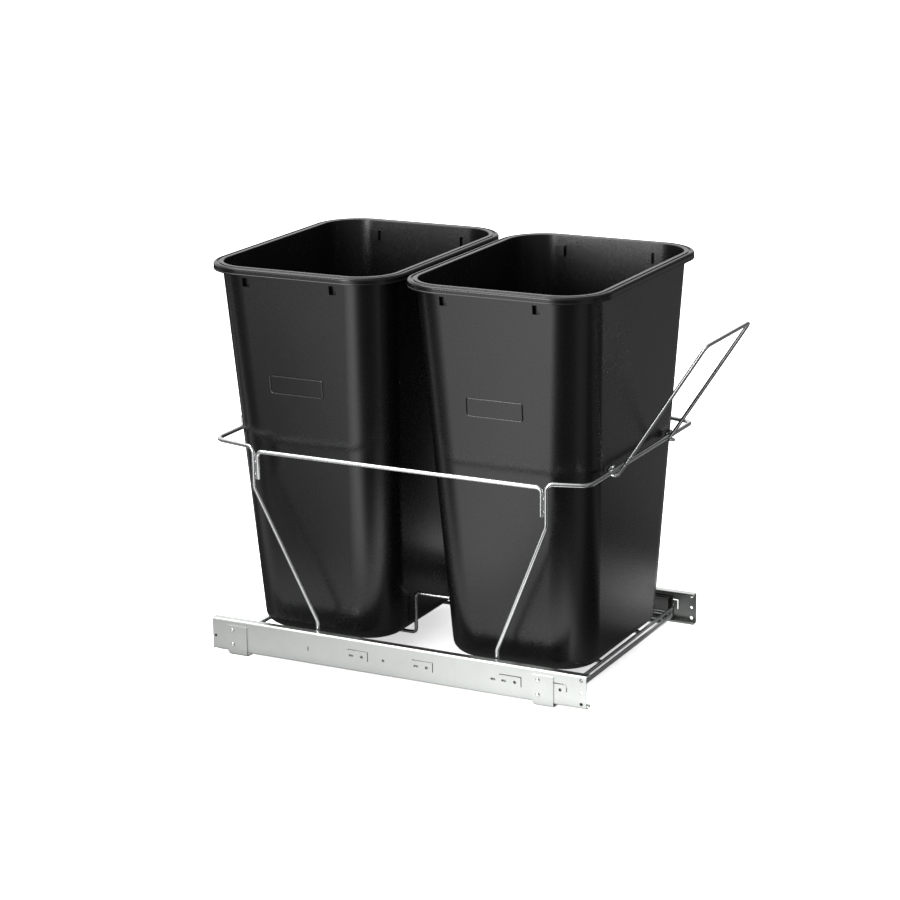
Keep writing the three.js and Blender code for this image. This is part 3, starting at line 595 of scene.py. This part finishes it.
low, high = sizes("left_stop_bumper")
peg = bmesh.new()
body = bmesh.new()
add_block(body, (low.x + bumper_gap, low.y, low.z), high, bumper_radius)
add_rod(peg, low.x, low.x + bumper_gap + peg_bite, rear_y + peg_hole,
        slide_low.z + slide_height / 2 - peg_drop, peg_radius)
body = combine(body, peg, "UNION")
grooves = bmesh.new()
for z in (low.z + (high.z - low.z) / 3, high.z - (high.z - low.z) / 3):
    add_block(grooves, (low.x + bumper_gap - overcut, low.y - overcut, z - bumper_groove / 2),
              (high.x + overcut, low.y + bumper_groove, z + bumper_groove / 2))
finish_pair(combine(body, grooves), "stop_bumper", rubber, "rubber", edge_round=bumper_edge)

# ---- Brackets ----
# An angle of thicker zinc-plated sheet is riveted to the outer face of each slide near both its ends.
# Its foot turns in under the slide and is screwed to the cabinet floor.

bracket_sheet = 1.8
bracket_bend = 2.4
bracket_corner, bracket_corner_segments = 6, 8
bracket_edge = 0.15

for place_name in ("rear", "front"):
    node = f"left_{place_name}_bracket"
    low, high = sizes(node)
    half = bracket_sheet / 2
    corners = [(low.x + half, high.z), (low.x + half, low.z + half), (high.x, low.z + half)]
    body = bent_strip(corners, bracket_sheet, bracket_bend, high.y, low.y)
    outline = bmesh.new()
    add_block(outline, low - Vector((overcut, 0, 0)), high + Vector((overcut, 0, 0)))
    corner = Vector((high.y, low.z))
    rear_low = [edge for edge in outline.edges
                if all((vert.co.yz - corner).length < tiny for vert in edge.verts)]
    bmesh.ops.bevel(outline, geom=rear_low, offset=bracket_corner, affect="EDGES",
                    segments=bracket_corner_segments, profile=0.5, material=-1)
    body = combine(body, outline, "INTERSECT")
    holes = bmesh.new()
    for level in ("lower", "upper"):
        add_rod(holes, low.x - overcut, slide_low.x, *middle_line(f"left_{place_name}_{level}_rivet"),
                rivet_hole_radius)
    body = combine(body, holes)
    finish_pair(body, f"{place_name}_bracket", zinc, "zinc_steel", edge_round=bracket_edge)

# ---- Rivets ----
# Two bright rivets clench each bracket to the web. The head is a low dome with a small dimple that the
# riveting tool leaves.

rivet_radius = 1.9
# the head, as distances along the rivet and out from its middle
rivet_profile = [(0.3, 0), (0.26, 0.5), (0.1, 0.85), (0.0, 1.2), (0.08, 1.9), (0.34, 2.55), (0.75, 2.95),
                 (1.1, 3.1), (1.3, 3.04), (1.3, 1.9)]
rivet_tail_round = 0.3
turned_steps = 40
bright_tones = ((0.7, 0.71, 0.7), (0.82, 0.83, 0.82))


def turned_piece(profile, start, heading, steps=turned_steps):
    """Turns a profile of (along, radius) pairs about an axis along X, from start toward heading."""
    bm = bmesh.new()
    points = [bm.verts.new((start.x + heading * along, start.y, start.z + radius))
              for along, radius in profile]
    edges = [bm.edges.new(ends) for ends in zip(points, points[1:])]
    bmesh.ops.spin(bm, geom=[*points, *edges], cent=start, axis=(1, 0, 0), angle=2 * math.pi, steps=steps,
                   use_merge=True)
    bmesh.ops.remove_doubles(bm, verts=bm.verts[:], dist=tiny)
    return bm


bright, tree, shader, coordinates = new_material("bright_steel", Metallic=1.0)
patches = place_group(tree, mottle, Vector=coordinates, Scale=260.0, Contrast=1.8)
vary(tree, shader, patches.outputs[0], bright_tones, patches.outputs[0], roughness=(0.14, 0.3))

for place_name in ("rear", "front"):
    for level in ("lower", "upper"):
        name = f"{place_name}_{level}_rivet"
        low, high = sizes(f"left_{name}")
        length = high.x - low.x
        tail = [(length - rivet_tail_round, rivet_radius), (length, rivet_radius - rivet_tail_round),
                (length, 0)]
        head = Vector((low.x, *middle_line(f"left_{name}")))
        finish_pair(turned_piece(rivet_profile + tail, head, 1), name, bright, "bright_steel")

# ---- Ball cages ----
# Each slide has two rows of hardened balls in each of two races. A thin bent strip of steel, pierced for
# the balls, keeps them apart.

cage_sheet = 0.6
cage_bend = 0.9
ball_radius = 1.75
ball_hole = 1.9
ball_pitch = 26
balls_each_side = 4
ball_from_edge = 2.2
cage_tones = ((0.2, 0.2, 0.19), (0.33, 0.33, 0.32))


def join(bm, other):
    """Adds another closed shape as it is."""
    mesh = bpy.data.meshes.new("work")
    other.to_mesh(mesh)
    other.free()
    bm.from_mesh(mesh)
    bpy.data.meshes.remove(mesh)


cage_steel, tree, shader, coordinates = new_material("cage_steel", Metallic=1.0)
patches = place_group(tree, mottle, Vector=coordinates, Scale=70.0, Contrast=1.6)
grain = place_group(tree, rolled, Vector=coordinates, Scale=1900.0)
vary(tree, shader, patches.outputs[0], cage_tones, grain.outputs["Value"], roughness=(0.2, 0.34))

for name in ("outer_ball_cage", "inner_ball_cage"):
    low, high = sizes(f"left_{name}")
    web, ball_low, ball_high = low.x + cage_sheet / 2, low.z + ball_radius, high.z - ball_radius
    corners = [(high.x, ball_low), (web, ball_low), (web, ball_high), (high.x, ball_high)]
    strip = bent_strip(corners, cage_sheet, cage_bend, high.y, low.y)
    pockets, balls = bmesh.new(), bmesh.new()
    for k in range(-balls_each_side, balls_each_side + 1):
        for z in (ball_low, ball_high):
            stand = Matrix.Translation((high.x - ball_from_edge, (low.y + high.y) / 2 + k * ball_pitch, z))
            bmesh.ops.create_icosphere(pockets, subdivisions=2, radius=ball_hole, matrix=stand)
            bmesh.ops.create_icosphere(balls, subdivisions=3, radius=ball_radius, matrix=stand)
    cage = combine(strip, pockets)
    join(cage, balls)
    finish_pair(cage, name, cage_steel, "zinc_steel")

# ---- Middle and drawer members ----
# Two narrower channels of the same rolled strip run inside the fixed one. The drawer member, with its
# web to the inside, carries the wire frame and is pierced for the screws of the tabs. The middle one is
# given darker zinc, a painted shade for the dark inside of the slide that shows through its holes.

middle_section = (3.0, 9.9, 5.8, -1.7)
drawer_section = (12.1, 5.4, 11, -1.9)
screw_hole_radius = 2.25
# darker zinc tones for the middle member: painted shade for the inside of the slide, seen through its holes
painted_shade_tones = ((0.28, 0.28, 0.265), (0.4, 0.4, 0.38))

shade_dark_zinc, tree, shader, coordinates = new_material("painted_shade_zinc", Metallic=1.0)
dark_patches = place_group(tree, mottle, Vector=coordinates, Scale=60.0, Contrast=2.0)
grain = place_group(tree, rolled, Vector=coordinates, Scale=2600.0)
vary(tree, shader, dark_patches.outputs[0], painted_shade_tones, dark_patches.outputs[0], roughness=(0.3, 0.45))
bump(tree, shader, grain.outputs["Height"], distance=rolled_depth)

low, high = sizes("left_middle_member")
body = channel(*middle_section, high.y, low.y)
finish_pair(body, "middle_member", shade_dark_zinc, "zinc_steel", edge_round=member_edge)

low, high = sizes("left_drawer_member")
body = channel(*drawer_section, high.y, low.y)
holes = bmesh.new()
for k in (1, 2, 3, 4):
    add_rod(holes, high.x - 2 * sheet, high.x + sheet, *middle_line(f"left_tab_screw_{k}"),
            screw_hole_radius)
finish_pair(combine(body, holes), "drawer_member", zinc, "zinc_steel", edge_round=member_edge)

# ---- Tabs and their screws ----
# Small chromed plates are welded to the outside of the base loop. Two pan-head screws fix each of them
# to a drawer member.

tab_corner, tab_edge = 3, 0.3
chrome_tones = ((0.69, 0.7, 0.71), (0.79, 0.795, 0.8))

chrome, tree, shader, coordinates = new_material("chrome_plate", Metallic=1.0)
haze = place_group(tree, mottle, Vector=coordinates, Scale=55.0, Contrast=2.0)
fine = place_group(tree, mottle, Vector=coordinates, Scale=220.0, Contrast=1.6)
vary(tree, shader, haze.outputs[0], chrome_tones, fine.outputs[0], roughness=(0.2, 0.28))
bump(tree, shader, haze.outputs[0], distance=0.00003)

for place_name, screws in (("rear", (1, 2)), ("front", (3, 4))):
    low, high = sizes(f"left_{place_name}_tab")
    plate, holes = bmesh.new(), bmesh.new()
    add_block(plate, low, high, tab_corner)
    for k in screws:
        add_rod(holes, low.x - overcut, high.x + overcut, *middle_line(f"left_tab_screw_{k}"),
                screw_hole_radius)
    finish_pair(combine(plate, holes), f"{place_name}_tab", chrome, "chrome_wire", edge_round=tab_edge)

# the head, as distances along the screw and out from its middle
screw_head = [(0, 0), (0.03, 1.3), (0.3, 2.35), (0.8, 3.1), (1.4, 3.5), (1.9, 3.6), (2.2, 3.5), (2.2, 1.9)]
thread_pitch = 0.8
thread_root = 1.5
thread_crest = 1.9
thread_starts = 1
thread_flanks = (0.45, 0.55)
screw_tip = 0.9
screw_steps, screw_crease = 32, 30
cross_width = 0.9
cross_length = 4.4
cross_depth = 1.2
for k in (1, 2, 3, 4):
    low, high = sizes(f"left_tab_screw_{k}")
    length = high.x - low.x
    profile = list(screw_head)
    along = screw_head[-1][0] + thread_starts
    while along < length - 2 * thread_pitch:
        profile.append((along, thread_crest))
        profile += [(along + thread_pitch * flank, thread_root) for flank in thread_flanks]
        along += thread_pitch
    profile += [(along, thread_crest), (length, screw_tip), (length, 0)]
    head = Vector((high.x, *middle_line(f"left_tab_screw_{k}")))
    body = turned_piece(profile, head, -1, steps=screw_steps)
    for wide in ((cross_length, cross_width), (cross_width, cross_length)):
        recess = bmesh.new()
        half = Vector((cross_depth, wide[0] / 2, wide[1] / 2))
        add_block(recess, head - half, head + half)
        body = combine(body, recess)
    finish_pair(body, f"tab_screw_{k}", bright, "bright_steel", crease=screw_crease)

# ---- Base loop and toe wire ----
# One chromed wire, 6 mm thick, is bent to a rectangle that lies between the slides, and its ends are
# butt-welded at the rear. A thinner wire is welded across its front to carry the wires under the bins.

frame_wire = 6
grid_wire = 5
base_bend = 12
butt_gap = 0.05
wire_sides = 24
wire_end_round, wire_end_segments = 0.5, 2
weld_ridge = 0.35
collar_top = frame_wire / 2 + weld_ridge
weld_collar = [(-1.2, 2.4), (-0.9, 2.95), (-0.3, collar_top), (0.3, collar_top), (0.9, 2.95), (1.2, 2.4),
               (-1.2, 2.4)]
weld_places = []


def bent_wire(corners, diameter, bend):
    """A round wire along corners, with its ends cut off square and their edges taken off."""
    bm = bmesh.new()
    start = Vector(corners[0][:3])
    heading = (Vector(corners[1][:3]) - start).normalized()
    stand = Matrix.Translation(start) @ heading.to_track_quat("Z", "Y").to_matrix().to_4x4()
    bmesh.ops.create_circle(bm, cap_ends=False, radius=diameter / 2, segments=wire_sides, matrix=stand)
    run_along(bm, [*bm.verts, *bm.edges], corners, bend)
    ends = bmesh.ops.holes_fill(bm, edges=[edge for edge in bm.edges if edge.is_boundary])["faces"]
    rims = [edge for face in ends for edge in face.edges]
    bmesh.ops.bevel(bm, geom=rims, offset=wire_end_round, affect="EDGES", segments=wire_end_segments,
                    profile=0.5, material=-1)
    return bm


def both_halves(corners):
    """The corners of a wire that is the same on both sides, given from its end on the left."""
    return [*corners, *[(-corner[0], *corner[1:]) for corner in reversed(corners)]]


low, high = sizes("base_loop")
half = frame_wire / 2
base_x, base_front, base_rear, base_z = low.x + half, low.y + half, high.y - half, low.z + half
corners = [(-butt_gap, base_rear, base_z), (base_x, base_rear, base_z), (base_x, base_front, base_z)]
loop = bent_wire(both_halves(corners), frame_wire, base_bend)
join(loop, turned_piece(weld_collar, Vector((0, base_rear, base_z)), 1, steps=wire_sides))
finish_piece(loop, "base_loop.wire", "base_loop", chrome, "chrome_wire")

low, high = sizes("toe_wire")
toe_y, grid_z = middle_line("toe_wire")
toe = bent_wire([(low.x, toe_y, grid_z), (high.x, toe_y, grid_z)], grid_wire, 0)
finish_piece(toe, "toe_wire.wire", "toe_wire", chrome, "chrome_wire")
between = (base_z + half + grid_z - grid_wire / 2) / 2
weld_places += [(side * base_x, toe_y, between) for side in (-1, 1)]

# ---- Wires under the bins ----
# Two wires run from the toe wire to the rear of the base loop and carry both bins. Each rises between
# the bins in a square bump that keeps them apart.

hump_bend, hump_margin = 6, 0.1


def reach_between(node, z0, z1):
    """How far a CAD node reaches along Y between two heights, in millimetres."""
    heights = [vert.co / MM for vert in frame["nodes"][node].data.vertices]
    found = [point.y for point in heights if z0 < point.z < z1]
    return min(found), max(found)


low, high = sizes("left_under_bin_wire")
middle_x = (low.x + high.x) / 2
half = grid_wire / 2
hump_front, hump_rear = reach_between("left_under_bin_wire", grid_z + hump_bend - hump_margin,
                                      high.z - half - hump_bend + hump_margin)
hump_front, hump_rear, hump_z = hump_front + half, hump_rear - half, high.z - half
corners = [(middle_x, low.y, grid_z), (middle_x, hump_front, grid_z), (middle_x, hump_front, hump_z),
           (middle_x, hump_rear, hump_z), (middle_x, hump_rear, grid_z), (middle_x, high.y, grid_z)]
finish_pair(bent_wire(corners, grid_wire, hump_bend), "under_bin_wire", chrome, "chrome_wire")
for side in (-1, 1):
    weld_places.append((side * middle_x, low.y, grid_z))
    weld_places.append((side * middle_x, base_rear, between))

# ---- End loops ----
# At each end one bent wire stands on the base loop with both its feet, slants out to an upright leg over
# each slide and crosses the unit round the bins.

leg_bend = 15
leg_top_bend = 9
ring_bend = 16
ring_corner_inset = 15
knee_drop = 55.5
shin_rise = 10.5
shin_top = slide_high.z + shin_rise
wire_gap = 0.3
ring_ys = []
half = frame_wire / 2
rail_low, rail_high = sizes("left_side_rail")
leg_x = (rail_low.x + rail_high.x) / 2
leg_ys = (rail_low.y + half - frame_wire - wire_gap, rail_high.y - half + frame_wire + wire_gap)
for name, leg_y, end in (("front_end_loop", leg_ys[0], 0), ("rear_end_loop", leg_ys[1], 1)):
    low, high = sizes(name)
    cross_y = (low.y + half, high.y - half)[end]
    foot_y = (high.y - half, low.y + half)[end]
    ring_z = high.z - half
    corners = [(base_x, foot_y, low.z), (base_x, foot_y, shin_top), (leg_x, leg_y, ring_z - knee_drop),
               (leg_x, leg_y, ring_z, leg_top_bend),
               (leg_x + ring_corner_inset, cross_y, ring_z, ring_bend)]
    wire = bent_wire(both_halves(corners), frame_wire, leg_bend)
    finish_piece(wire, f"{name}.wire", name, chrome, "chrome_wire")
    weld_places += [(side * base_x, foot_y, (base_z + half + low.z) / 2) for side in (-1, 1)]
    ring_ys.append(cross_y)
ring_front_y, ring_rear_y = ring_ys

# ---- Side rails ----
# A wire along each side joins the end loops just under their corners. Its bent-down tails lie against
# the legs, where they are welded.

rail_bend = 7
tail_welds = (0.2, 0.7)
corners = [(leg_x, rail_low.y + half, rail_low.z), (leg_x, rail_low.y + half, rail_high.z - half),
           (leg_x, rail_high.y - half, rail_high.z - half), (leg_x, rail_high.y - half, rail_low.z)]
finish_pair(bent_wire(corners, frame_wire, rail_bend), "side_rail", chrome, "chrome_wire")
for side in (-1, 1):
    for tail_y, leg_y in zip((rail_low.y + half, rail_high.y - half), leg_ys):
        for share in tail_welds:
            z = rail_low.z + share * (rail_high.z - rail_low.z - rail_bend)
            weld_places.append((side * leg_x, (tail_y + leg_y) / 2, z))

# ---- Rear hooks ----
# Two short hooks of thin chromed wire, one on each side, are bent round the rear wire of the ring from
# below and welded to it.

hook_wire = 4
hook_round = (frame_wire + hook_wire) / 2 + wire_gap
hook_tip = 2
low, high = sizes("left_rear_hook")
middle_x = (low.x + high.x) / 2
corners = [(middle_x, ring_rear_y - hook_round, ring_z + hook_tip),
           (middle_x, ring_rear_y - hook_round, ring_z - hook_round),
           (middle_x, ring_rear_y + hook_round, ring_z - hook_round),
           (middle_x, ring_rear_y + hook_round, high.z)]
finish_pair(bent_wire(corners, hook_wire, hook_round), "rear_hook", chrome, "chrome_wire")
weld_places += [(side * middle_x, ring_rear_y, ring_z - half - wire_gap / 2) for side in (-1, 1)]

# ---- Weld spots ----
# Where two wires cross or meet, a resistance weld has squeezed a little steel out between them, and the
# chrome plating covers it.

weld_size = Vector((1.9, 1.9, 1.5))
welds = bmesh.new()
for place_of_weld in weld_places:
    stand = Matrix.Translation(place_of_weld) @ Matrix.Diagonal((*weld_size, 1))
    bmesh.ops.create_icosphere(welds, subdivisions=3, radius=1, matrix=stand)
weld_spots = make_piece(welds, "weld_spots", chrome)
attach(weld_spots, "carriage")

# ---- Bail handle ----
# The handle is one chromed wire. Each end hooks round the front wire of the ring from above, turns out
# below it and runs in a short shoulder to the foot of a leg.

bail_wire = 5
bail_width = 150
bail_shoulder = 20
bail_shoulder_bend = 4.4
bail_hook_tip, bail_hook_reach = 1.5, 5.5
bail_foot_forward, bail_foot_rise = 6.5, 1.5
bail_corner = 8
bail_lean, bail_length = math.radians(33.4), 201.7
hook_bend = (frame_wire + bail_wire) / 2 + wire_gap
hook_x, foot_x = -bail_width / 2 - bail_shoulder, -bail_width / 2
foot_y, foot_z = ring_front_y - bail_foot_forward, ring_z + bail_foot_rise
corners = [
    (hook_x, ring_front_y - bail_hook_tip, ring_z + hook_bend),
    (hook_x, ring_front_y + hook_bend, ring_z + hook_bend),
    (hook_x, ring_front_y + hook_bend, ring_z - hook_bend),
    (hook_x, ring_front_y - bail_hook_reach, ring_z - hook_bend, bail_shoulder_bend),
    (foot_x, foot_y, foot_z, bail_shoulder_bend),
    (foot_x, foot_y - bail_length * math.sin(bail_lean), foot_z + bail_length * math.cos(bail_lean),
     bail_corner),
]
wire = bent_wire(both_halves(corners), bail_wire, hook_bend)
finish_piece(wire, "bail_handle.wire", "bail_handle", chrome, "chrome_wire")

# ---- Bins ----
# Two injection-moulded bins of black polypropylene, alike, with walls that lean out toward the top, so
# that empty ones nest. The rim is rolled out and down, and two small pockets sit under it at each end.

bin_wall = 2.2
end_taper, side_taper = 44, 25
bin_corner, corner_steps = 52, 22
bin_edge, bottom_steps, inner_steps = 16, 9, 8
bin_rest = 5
bottom_recess = 3
rim_overhang, rim_depth, rim_sheet, rim_edge, rim_round = 12.3, 9.5, 2, 4, 1.2
rim_fillet, rim_steps = 1.5, 8
bead_height, bead_proud = 1.3, 0.5
rim_groove, groove_in, groove_out, groove_draft = 1.4, 3.4, 6.9, 0.3
pocket_width, pocket_height, pocket_depth, pocket_drop = 10.5, 12, 6.5, 15
pocket_spread, pocket_shift, pocket_corner = 130, 6, 1
boss_wall, boss_bite = 1.2, 0.6
panel_width, panel_low, panel_high, panel_corner = 79, 342, 366, 3
panel_line, panel_line_depth = 3, 0.9
above_wall = 0.4
shell_edge, shell_crease = 0.25, 32
plastic_tones = ((0.004, 0.004, 0.0042), (0.0052, 0.0052, 0.0054))
cloud_share = 0.6

plastic, tree, shader, coordinates = new_material("black_polypropylene", Metallic=0.0, IOR=1.6)
clouds = place_group(tree, mottle, Vector=coordinates, Scale=9.0, Contrast=1.4)
patches = place_group(tree, mottle, Vector=coordinates, Scale=130.0, Contrast=1.5)
grain = place_group(tree, mottle, Vector=coordinates, Scale=2200.0, Contrast=1.6)
handled = weigh(tree, cloud_share, clouds.outputs[0], patches.outputs[0])
vary(tree, shader, clouds.outputs[0], plastic_tones, handled, roughness=(0.23, 0.31))
bump(tree, shader, grain.outputs[0], distance=0.00002)


def arc(middle, reach, start, end, steps=4, rise=None):
    """Points on a round edge in the section of a wall, as (outward, height). Its reach outward and its
    rise can differ."""
    angles = [math.radians(start + (end - start) * k / steps) for k in range(steps + 1)]
    rise = rise or reach
    return [(middle[0] + reach * math.cos(a), middle[1] + rise * math.sin(a)) for a in angles]


def rounded_ring(bm, half_x, half_y, height, radius):
    """A level rectangle of edges with round corners."""
    stand = Matrix.Translation((0, 0, height)) @ Matrix.Diagonal((half_x, half_y, 1, 1))
    verts = bmesh.ops.create_grid(bm, x_segments=1, y_segments=1, size=1, matrix=stand)["verts"]
    made = bmesh.ops.bevel(bm, geom=verts, offset=radius, affect="VERTICES", segments=corner_steps,
                           profile=0.5, material=-1)
    return made["verts"][0].link_faces[0]


def set_on_wall(bm, verts, end, lean, place):
    """Turns a shape drawn with z up so that z points out of the wall at one end of a bin, and places it."""
    turn = Matrix.Rotation(end * (math.pi / 2 + lean), 3, "Y")
    bmesh.ops.rotate(bm, verts=verts, cent=(0, 0, 0), matrix=turn)
    bmesh.ops.translate(bm, verts=verts, vec=place)


def moulded_bin(low, high):
    """One bin between its CAD corners, with its bottom at z = 0 and its middle at x = 0 and y = 0."""
    height = high.z - low.z
    top_x, top_y = (high.x - low.x) / 2 - rim_overhang, (high.y - low.y) / 2 - rim_overhang
    inner_floor = bottom_recess + bin_wall
    face = rim_overhang - bead_proud
    edge_middle = (face - rim_edge, height - rim_edge)
    # the section of the wall from the bottom up the outside, over the rim and down the inside
    profile = [
        (-bin_edge - bin_rest - bottom_recess, bottom_recess), (-bin_edge - bin_rest, 0),
        *arc((-bin_edge, bin_edge), bin_edge, -90, 0, bottom_steps),
        *arc((rim_fillet, height - rim_sheet - rim_fillet), rim_fillet, 180, 90),
        *arc(edge_middle, rim_edge - rim_sheet, 90, 0),
        (face - rim_sheet, height - rim_depth), (rim_overhang, height - rim_depth),
        (rim_overhang, height - rim_depth + bead_height),
        (face, height - rim_depth + bead_height + bead_proud),
        *arc(edge_middle, rim_edge, 0, 90, rim_steps),
        (groove_out, height), (groove_out - groove_draft, height - rim_groove),
        (groove_in + groove_draft, height - rim_groove), (groove_in, height),
        *arc((rim_round - bin_wall, height - rim_round), rim_round, 90, 180),
        *arc((-bin_edge, bin_edge), bin_edge - bin_wall, 0, -90, inner_steps, bin_edge - inner_floor),
    ]
    bm = bmesh.new()
    faces = []
    for outward, z in profile:
        below = 1 - z / height
        faces.append(rounded_ring(bm, top_x - end_taper * below + outward,
                                  top_y - side_taper * below + outward, z, bin_corner + outward))
    rings = [face.edges[:] for face in faces]
    bmesh.ops.delete(bm, geom=faces[1:-1], context="FACES_ONLY")
    for lower, upper in zip(rings, rings[1:]):
        bmesh.ops.bridge_loops(bm, edges=lower + upper)
    lean = math.atan(end_taper / height)
    middle = height - pocket_drop - pocket_height / 2
    bosses, pockets = bmesh.new(), bmesh.new()
    for end in (-1, 1):
        for offset in (-pocket_spread / 2, pocket_spread / 2):
            half = Vector((pocket_height / 2, pocket_width / 2, 0))
            wall = Vector((boss_wall, boss_wall, 0))
            place = (end * (top_x - end_taper * (1 - middle / height)), pocket_shift + offset, middle)
            deep = Vector((0, 0, -pocket_depth))
            boss = add_block(bosses, -half - wall + deep - Vector((0, 0, boss_wall)),
                             half + wall - Vector((0, 0, boss_bite)), pocket_corner, 2)
            pocket = add_block(pockets, -half + deep, half + Vector((0, 0, above_wall)))
            set_on_wall(bosses, boss, end, lean, place)
            set_on_wall(pockets, pocket, end, lean, place)
    bm = combine(combine(bm, bosses, "UNION"), pockets)
    middle = (panel_low + panel_high) / 2
    for end in (-1, 1):
        line = bmesh.new()
        spread = panel_line / 2 * (1 + above_wall / panel_line_depth)
        section = [(spread, above_wall), (0, -panel_line_depth), (-spread, above_wall)]
        faces = [rounded_ring(line, (panel_high - panel_low) / 2 + outward, panel_width / 2 + outward, z,
                              panel_corner + outward) for outward, z in section]
        rings = [face.edges[:] for face in faces]
        bmesh.ops.delete(line, geom=faces, context="FACES_ONLY")
        for k in range(len(rings)):
            bmesh.ops.bridge_loops(line, edges=rings[k - 1] + rings[k])
        set_on_wall(line, line.verts[:], end, lean,
                    (end * (top_x - end_taper * (1 - middle / height)), pocket_shift, middle))
        bm = combine(bm, line)
    return bm


for name in ("front_bin", "rear_bin"):
    low, high = sizes(name)
    body = moulded_bin(low, high)
    bmesh.ops.translate(body, verts=body.verts[:],
                        vec=((low.x + high.x) / 2, (low.y + high.y) / 2, low.z))
    finish_piece(body, f"{name}.shell", name, plastic, "black_plastic", edge_round=shell_edge,
                 crease=shell_crease)
